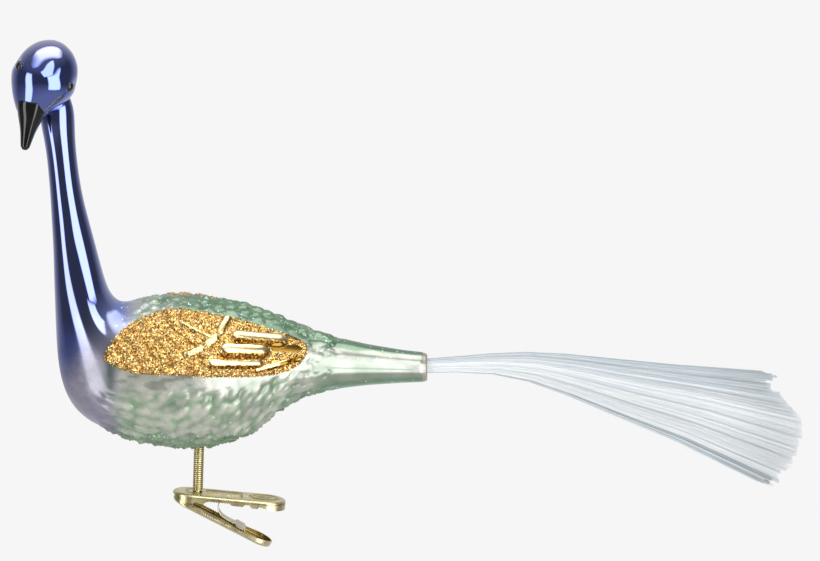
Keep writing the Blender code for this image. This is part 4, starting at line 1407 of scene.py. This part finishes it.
def shell_rings(ends, width, face, edge, emboss, sign):
    """Rings of a pressed shell: embossed face, rounded corner and cut flange."""
    rings = []
    for inset in np.linspace(width / 2 - 0.03, CORNER, 22):
        flat = stadium_ring(ends, width, inset)
        height = face + emboss(flat[:, 0], flat[:, 1])
        rings.append(np.column_stack([flat, np.broadcast_to(height, len(flat))]))
    for angle in np.linspace(0, math.pi / 2, 8)[1:]:
        flat = stadium_ring(ends, width, CORNER * (1 - math.sin(angle)))
        height = face - CORNER * (1 - math.cos(angle))
        rings.append(np.column_stack([flat, np.full(len(flat), height)]))
    flat = stadium_ring(ends, width, 0.0)
    end_heights = sign * np.interp(flat[:, 0], edge[:, 0], edge[:, 1])
    outward = unit(flat - stadium_ring(ends, width, 1.0))
    for share in np.linspace(0, 1, 10)[1:]:
        height = (face - CORNER) * (1 - share) + end_heights * share
        if sign < 0:
            bulge = knurl(flat[:, 0], height) * math.sin(math.pi * share)
        else:
            away = (flat[:, 0] ** 2 + height ** 2) / DIMPLE_RADIUS ** 2
            bulge = DIMPLE_HEIGHT * np.exp(-away ** 2)
        rings.append(np.column_stack([flat + outward * bulge[:, None], height]))
    return np.array(rings) * np.array((1.0, 1.0, sign))


def shell_painted_shade(spots, inner, face, emboss, sign):
    """Painted shade inside and in the folds of the embossing, painted dark reflection on the
    flanks.
    """
    drop = face - np.abs(spots[:, 2])
    mottled = np.clip(0.62 + 0.5 * cloud(spots, 2.2, 3.0 + sign), 0, 1)
    # Painted dark reflection on the flanks, mottled.
    flank_dark_reflection = mottled * ramp(drop, 0.55, 0.95) * ramp(spots[:, 0], 19.0, 10.0)
    if sign > 0:
        # Painted dark reflection along the upper shell's corner.
        corner_dark_reflection = bell(drop - 0.98, 0.22) * ramp(spots[:, 0], -4.0, 1.0)
        flank_dark_reflection = np.maximum(flank_dark_reflection, 1.17 * corner_dark_reflection)
    fold = np.abs(emboss(spots[:, 0], spots[:, 1]))
    level = fold / max(fold.max(), 1e-6)
    # Painted shade in the folds of the embossing.
    crease_shade = 3.2 * level * (1 - level) * (drop < 0.5)
    return np.clip(np.maximum.reduce([inner, 0.85 * flank_dark_reflection, crease_shade]), 0, 1)


def build_shell(name, ends, width, face, edge, slope, emboss, sign, finish, body, node):
    """A pressed shell of sheet metal. The upper one has sign 1 and the lower one -1."""
    points = shell_rings(ends, width, face, edge, emboss, sign)
    columns = points.shape[1]
    faces = grid_faces(len(points), columns)
    faces += [[i, i + 1, columns - 2 - i, columns - 1 - i] for i in range(columns // 2 - 1)]
    shell = object_from(name, points, faces)
    solid = shell.modifiers.new("sheet", "SOLIDIFY")
    solid.thickness = SHEET * MM
    solid.offset = -1.0
    bm = bmesh.new()
    bm.from_mesh(shell.data)
    top = max(bm.faces, key=lambda found: sign * found.calc_center_median().z)
    if top.normal.z * sign < 0:
        bmesh.ops.reverse_faces(bm, faces=bm.faces)
    bm.to_mesh(shell.data)
    bm.free()
    outer = len(shell.data.vertices)
    applied(shell)
    inner = (np.arange(len(shell.data.vertices)) >= outer).astype(float)
    spots = np.array([vertex.co for vertex in shell.data.vertices]) / MM
    # The inside number holds painted shade and painted dark reflection.
    paint(shell, "inside", shell_painted_shade(spots, inner, face, emboss, sign))
    set_down(shell, PIVOT, shell_matrix(slope))
    shell.data.shade_smooth()
    shell.data.set_sharp_from_angle(angle=math.radians(48))
    dress(shell, finish, "brass", body, node)


def strip_path():
    """Middle line of the leaf spring: upper arm, bend and lower arm."""
    upper, lower = shell_matrix(UPPER_SLOPE), shell_matrix(LOWER_SLOPE)
    under = UPPER_FACE - SHEET - GAP - STRIP_THICKNESS / 2
    over = RIM + GAP + STRIP_THICKNESS / 2
    arm = [upper @ Vector((x, 0.0, under)) for x in (13.0, 9.5, 6.2)]
    rest = [lower @ Vector((x, 0.0, over)) for x in (8.4, 11.0, 13.9)]
    bend = [Vector((10.0, 0.0, -0.6)), Vector((9.75, 0.0, -2.4)), Vector((10.6, 0.0, -4.0))]
    hook = [lower @ Vector((14.35, 0.0, over - 0.45)), lower @ Vector((14.45, 0.0, over - 1.4))]
    rows = smooth_rows([(point.x, point.z) for point in arm + bend + rest], 90)
    return np.vstack([rows, [(point.x, point.z) for point in hook]])


def build_leaf_spring(finish):
    """The bent strip that keeps the jaws shut, with its saddle tab across the lower shell."""
    path = smooth_rows(strip_path(), 150)
    tangent = unit(np.gradient(path, axis=0))
    share = np.linspace(0, 1, len(path))
    saddle = ramp(share, 0.845, 0.875)
    half = STRIP_WIDTH / 2 + saddle * (TAB_WIDTH - STRIP_WIDTH) / 2 - 0.6 * ramp(share, 0.95, 1.0)
    c, s = np.cos(full_turn(28)), np.sin(full_turn(28))
    u, v = np.sign(c) * np.abs(c) ** 0.22, np.sign(s) * np.abs(s) ** 0.5
    rise = v * STRIP_THICKNESS / 2
    points = np.stack([path[:, :1] - tangent[:, 1:] * rise, half[:, None] * u,
                       path[:, 1:] + tangent[:, :1] * rise], -1)
    strip = object_from("clip_leaf", points, tube_faces(*points.shape[:2]))
    strip.data.set_sharp_from_angle(angle=math.radians(50))
    dress(strip, finish, "brass")
    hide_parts("clip_leaf_spring")
    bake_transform(strip)


# ---------------------------------------------------------------- stage

# Lengths of the stage and of the camera's view are in metres, angles in degrees
STAGE_REACH = 6.6
STAGE_TONE = 0.922
FLOOR_DROP = 0.05
BIRD_MIDDLE = Vector((0.0, 0.0, 0.07))
CAMERA_DISTANCE = 3.0
CAMERA_ELEVATION = 11.0
VIEW_WIDTH = 0.2321
VIEW_MIDDLE = Vector((0.0642, 0.0, 0.0636))


def panel(name, azimuth, elevation, width, height, strength, colour=(1.0, 1.0, 1.0),
          distance=0.9, roll=0.0, sides=4, soft=0.1):
    """A softbox facing the bird. Azimuth 0 is in front of it, and +X is at 90 degrees."""
    a, e = math.radians(azimuth), math.radians(elevation)
    way = Vector((math.sin(a) * math.cos(e), -math.cos(a) * math.cos(e), math.sin(e)))
    mesh = bpy.data.meshes.new(name)
    reach = 0.5 / math.cos(math.pi / sides)
    corners = [(reach * math.cos(turn) * width, reach * math.sin(turn) * height, 0.0)
               for turn in full_turn(sides) + math.pi / sides]
    mesh.from_pydata(corners, [], [tuple(range(sides))])
    made = bpy.data.objects.new(name, mesh)
    bpy.context.scene.collection.objects.link(made)
    made.location = BIRD_MIDDLE + way * distance
    made.rotation_mode = "QUATERNION"
    facing = way.to_track_quat("Z", "Y")
    made.rotation_quaternion = facing @ Matrix.Rotation(math.radians(roll), 3, "Z").to_quaternion()
    made.data.materials.append(softbox_material(name + "_cloth", strength, colour, soft))
    made.visible_camera = False
    made.visible_shadow = False


def build_world():
    """Dim studio round the bird: darkest in front, paler behind, above and over the table."""
    world = bpy.data.worlds.new("studio")
    bpy.context.scene.world = world
    world.use_nodes = True
    tree = Tree(world.node_tree)
    way = tree.add("ShaderNodeTexCoord").outputs["Generated"]
    parts = tree.add("ShaderNodeSeparateXYZ", {0: way})
    level = tree.range(parts.outputs["Y"], 0.15, 0.95, 0.11, 0.61)
    level = tree.plus(level, tree.range(parts.outputs["Z"], 0.35, 0.9, 0.0, 0.22))
    level = tree.plus(level, tree.range(parts.outputs["Z"], -0.2, -0.75, 0.0, 0.36))
    tone = tree.mix(1.0, rgb(0.98, 0.99, 1.02), level, "MULTIPLY")
    background = world.node_tree.nodes["Background"]
    world.node_tree.links.new(tone, background.inputs["Color"])
    background.inputs["Strength"].default_value = 1.0


def build_stage():
    """A pale floor below the clip's reach, a pale backdrop, and four softboxes."""
    bpy.ops.mesh.primitive_circle_add(
        vertices=128, radius=STAGE_REACH, fill_type="NGON",
        location=(0.0, 0.0, cad_box[0].z - FLOOR_DROP))
    floor = bpy.context.object
    bpy.ops.mesh.primitive_uv_sphere_add(segments=64, ring_count=32, radius=STAGE_REACH)
    dome = bpy.context.object
    for made, name, hidden_from in (
            (floor, "floor", ("glossy", "shadow")),
            (dome, "backdrop", ("glossy", "diffuse", "shadow"))):
        made.name = name
        made.data.materials.append(lit_material("pale_" + name, STAGE_TONE))
        for ray in hidden_from:
            setattr(made, "visible_" + ray, False)
    cool = (0.95, 0.98, 1.0)
    panel("key", 34, -3, 0.80, 1.18, 3.7, cool)
    panel("key_top", 12, 37, 0.56, 0.42, 3.3, cool, roll=18)
    panel("strip", -54, -9, 0.42, 1.36, 3.4, soft=0.16)
    panel("top", 16, 84, 1.35, 0.80, 2.9, distance=0.75, sides=8, soft=0.22)
    build_world()


def build_camera():
    """Long lens in front of the bird's left side, looking a little down."""
    data = bpy.data.cameras.new("camera")
    data.sensor_width = 36.0
    data.lens = data.sensor_width * CAMERA_DISTANCE / VIEW_WIDTH
    data.clip_end = 40.0
    camera = bpy.data.objects.new("camera", data)
    bpy.context.scene.collection.objects.link(camera)
    elevation = math.radians(CAMERA_ELEVATION)
    back = Vector((0.0, -math.cos(elevation), math.sin(elevation)))
    camera.location = VIEW_MIDDLE + back * CAMERA_DISTANCE
    camera.rotation_mode = "QUATERNION"
    camera.rotation_quaternion = (-back).to_track_quat("-Z", "Y")
    bpy.context.scene.camera = camera
    bpy.context.scene.view_settings.view_transform = "Standard"


def keep_node(name, finish):
    """A part whose own shape is right: only its material is new."""
    part = frame["nodes"][name]
    part.data.materials.clear()
    part.data.materials.append(finish)


def main():
    """Set the stage, then build or keep every part."""
    for old in list(bpy.data.objects):
        if old.type in ("LIGHT", "CAMERA") or old.name == "Cube":
            bpy.data.objects.remove(old)
    build_camera()
    build_stage()
    enamel = enamel_material("black_enamel", 350.0, (0.002, 0.002, 0.0025),
                             (0.006, 0.0055, 0.0055), 0.1, (0.12, 0.25), 0.08)
    drop = enamel_material("black_enamel_drop", 900.0, (0.003, 0.003, 0.0035),
                           (0.009, 0.008, 0.008), 0.2, (0.25, 0.4), 0.0)
    coat = glitter_coat_material()
    flake = flake_material()
    cement = cement_material()
    sheet = brass_material(
        "brass_sheet", (0.88, 0.80, 0.50), (0.76, 0.66, 0.37), 0.21, 0.03, inside=True)
    strip = brass_material("brass_strip", (0.80, 0.74, 0.52), (0.70, 0.63, 0.42), 0.2, 0.03)
    wire = brass_material("brass_wire", (0.80, 0.71, 0.42), (0.68, 0.57, 0.31), 0.24, 0.02)

    build_glass(lacquer_material())
    build_beak(enamel)
    build_eye("eye_left", drop, 1.0, (0.5, -0.3, -0.1))
    build_eye("eye_right", drop, 2.0, (0.0, 0.0, -0.6))
    rings, _ = glass_rings()
    fields = wing_fields(rings)
    for side, name, node in (
            (-1, "wing_glitter_left", "wing_coat_left"),
            (1, "wing_glitter_right", "wing_coat_right")):
        outline = ragged_outline(side)
        build_wing_coat(side, fields, outline, coat, name, node)
        build_wing_flakes(side, fields, outline, flake, name)
    build_specks(rings, ring_normals(rings), flake)

    build_tail(fibre_material())
    build_coil(wire)
    build_shell("clip_top_shell", UPPER_ENDS, UPPER_WIDTH, UPPER_FACE, upper_edge(), UPPER_SLOPE,
                upper_emboss, 1, sheet, "clip_upper", "clip_upper_shell")
    build_shell("clip_bottom_shell", LOWER_ENDS, LOWER_WIDTH, LOWER_FACE, lower_edge(),
                LOWER_SLOPE, lower_emboss, -1, sheet, "clip_lower", "clip_lower_shell")
    build_leaf_spring(strip)
    keep_node("spring_rivet", wire)
    keep_node("tail_cement", cement)
    keep_node("belly_cement", cement)


main()
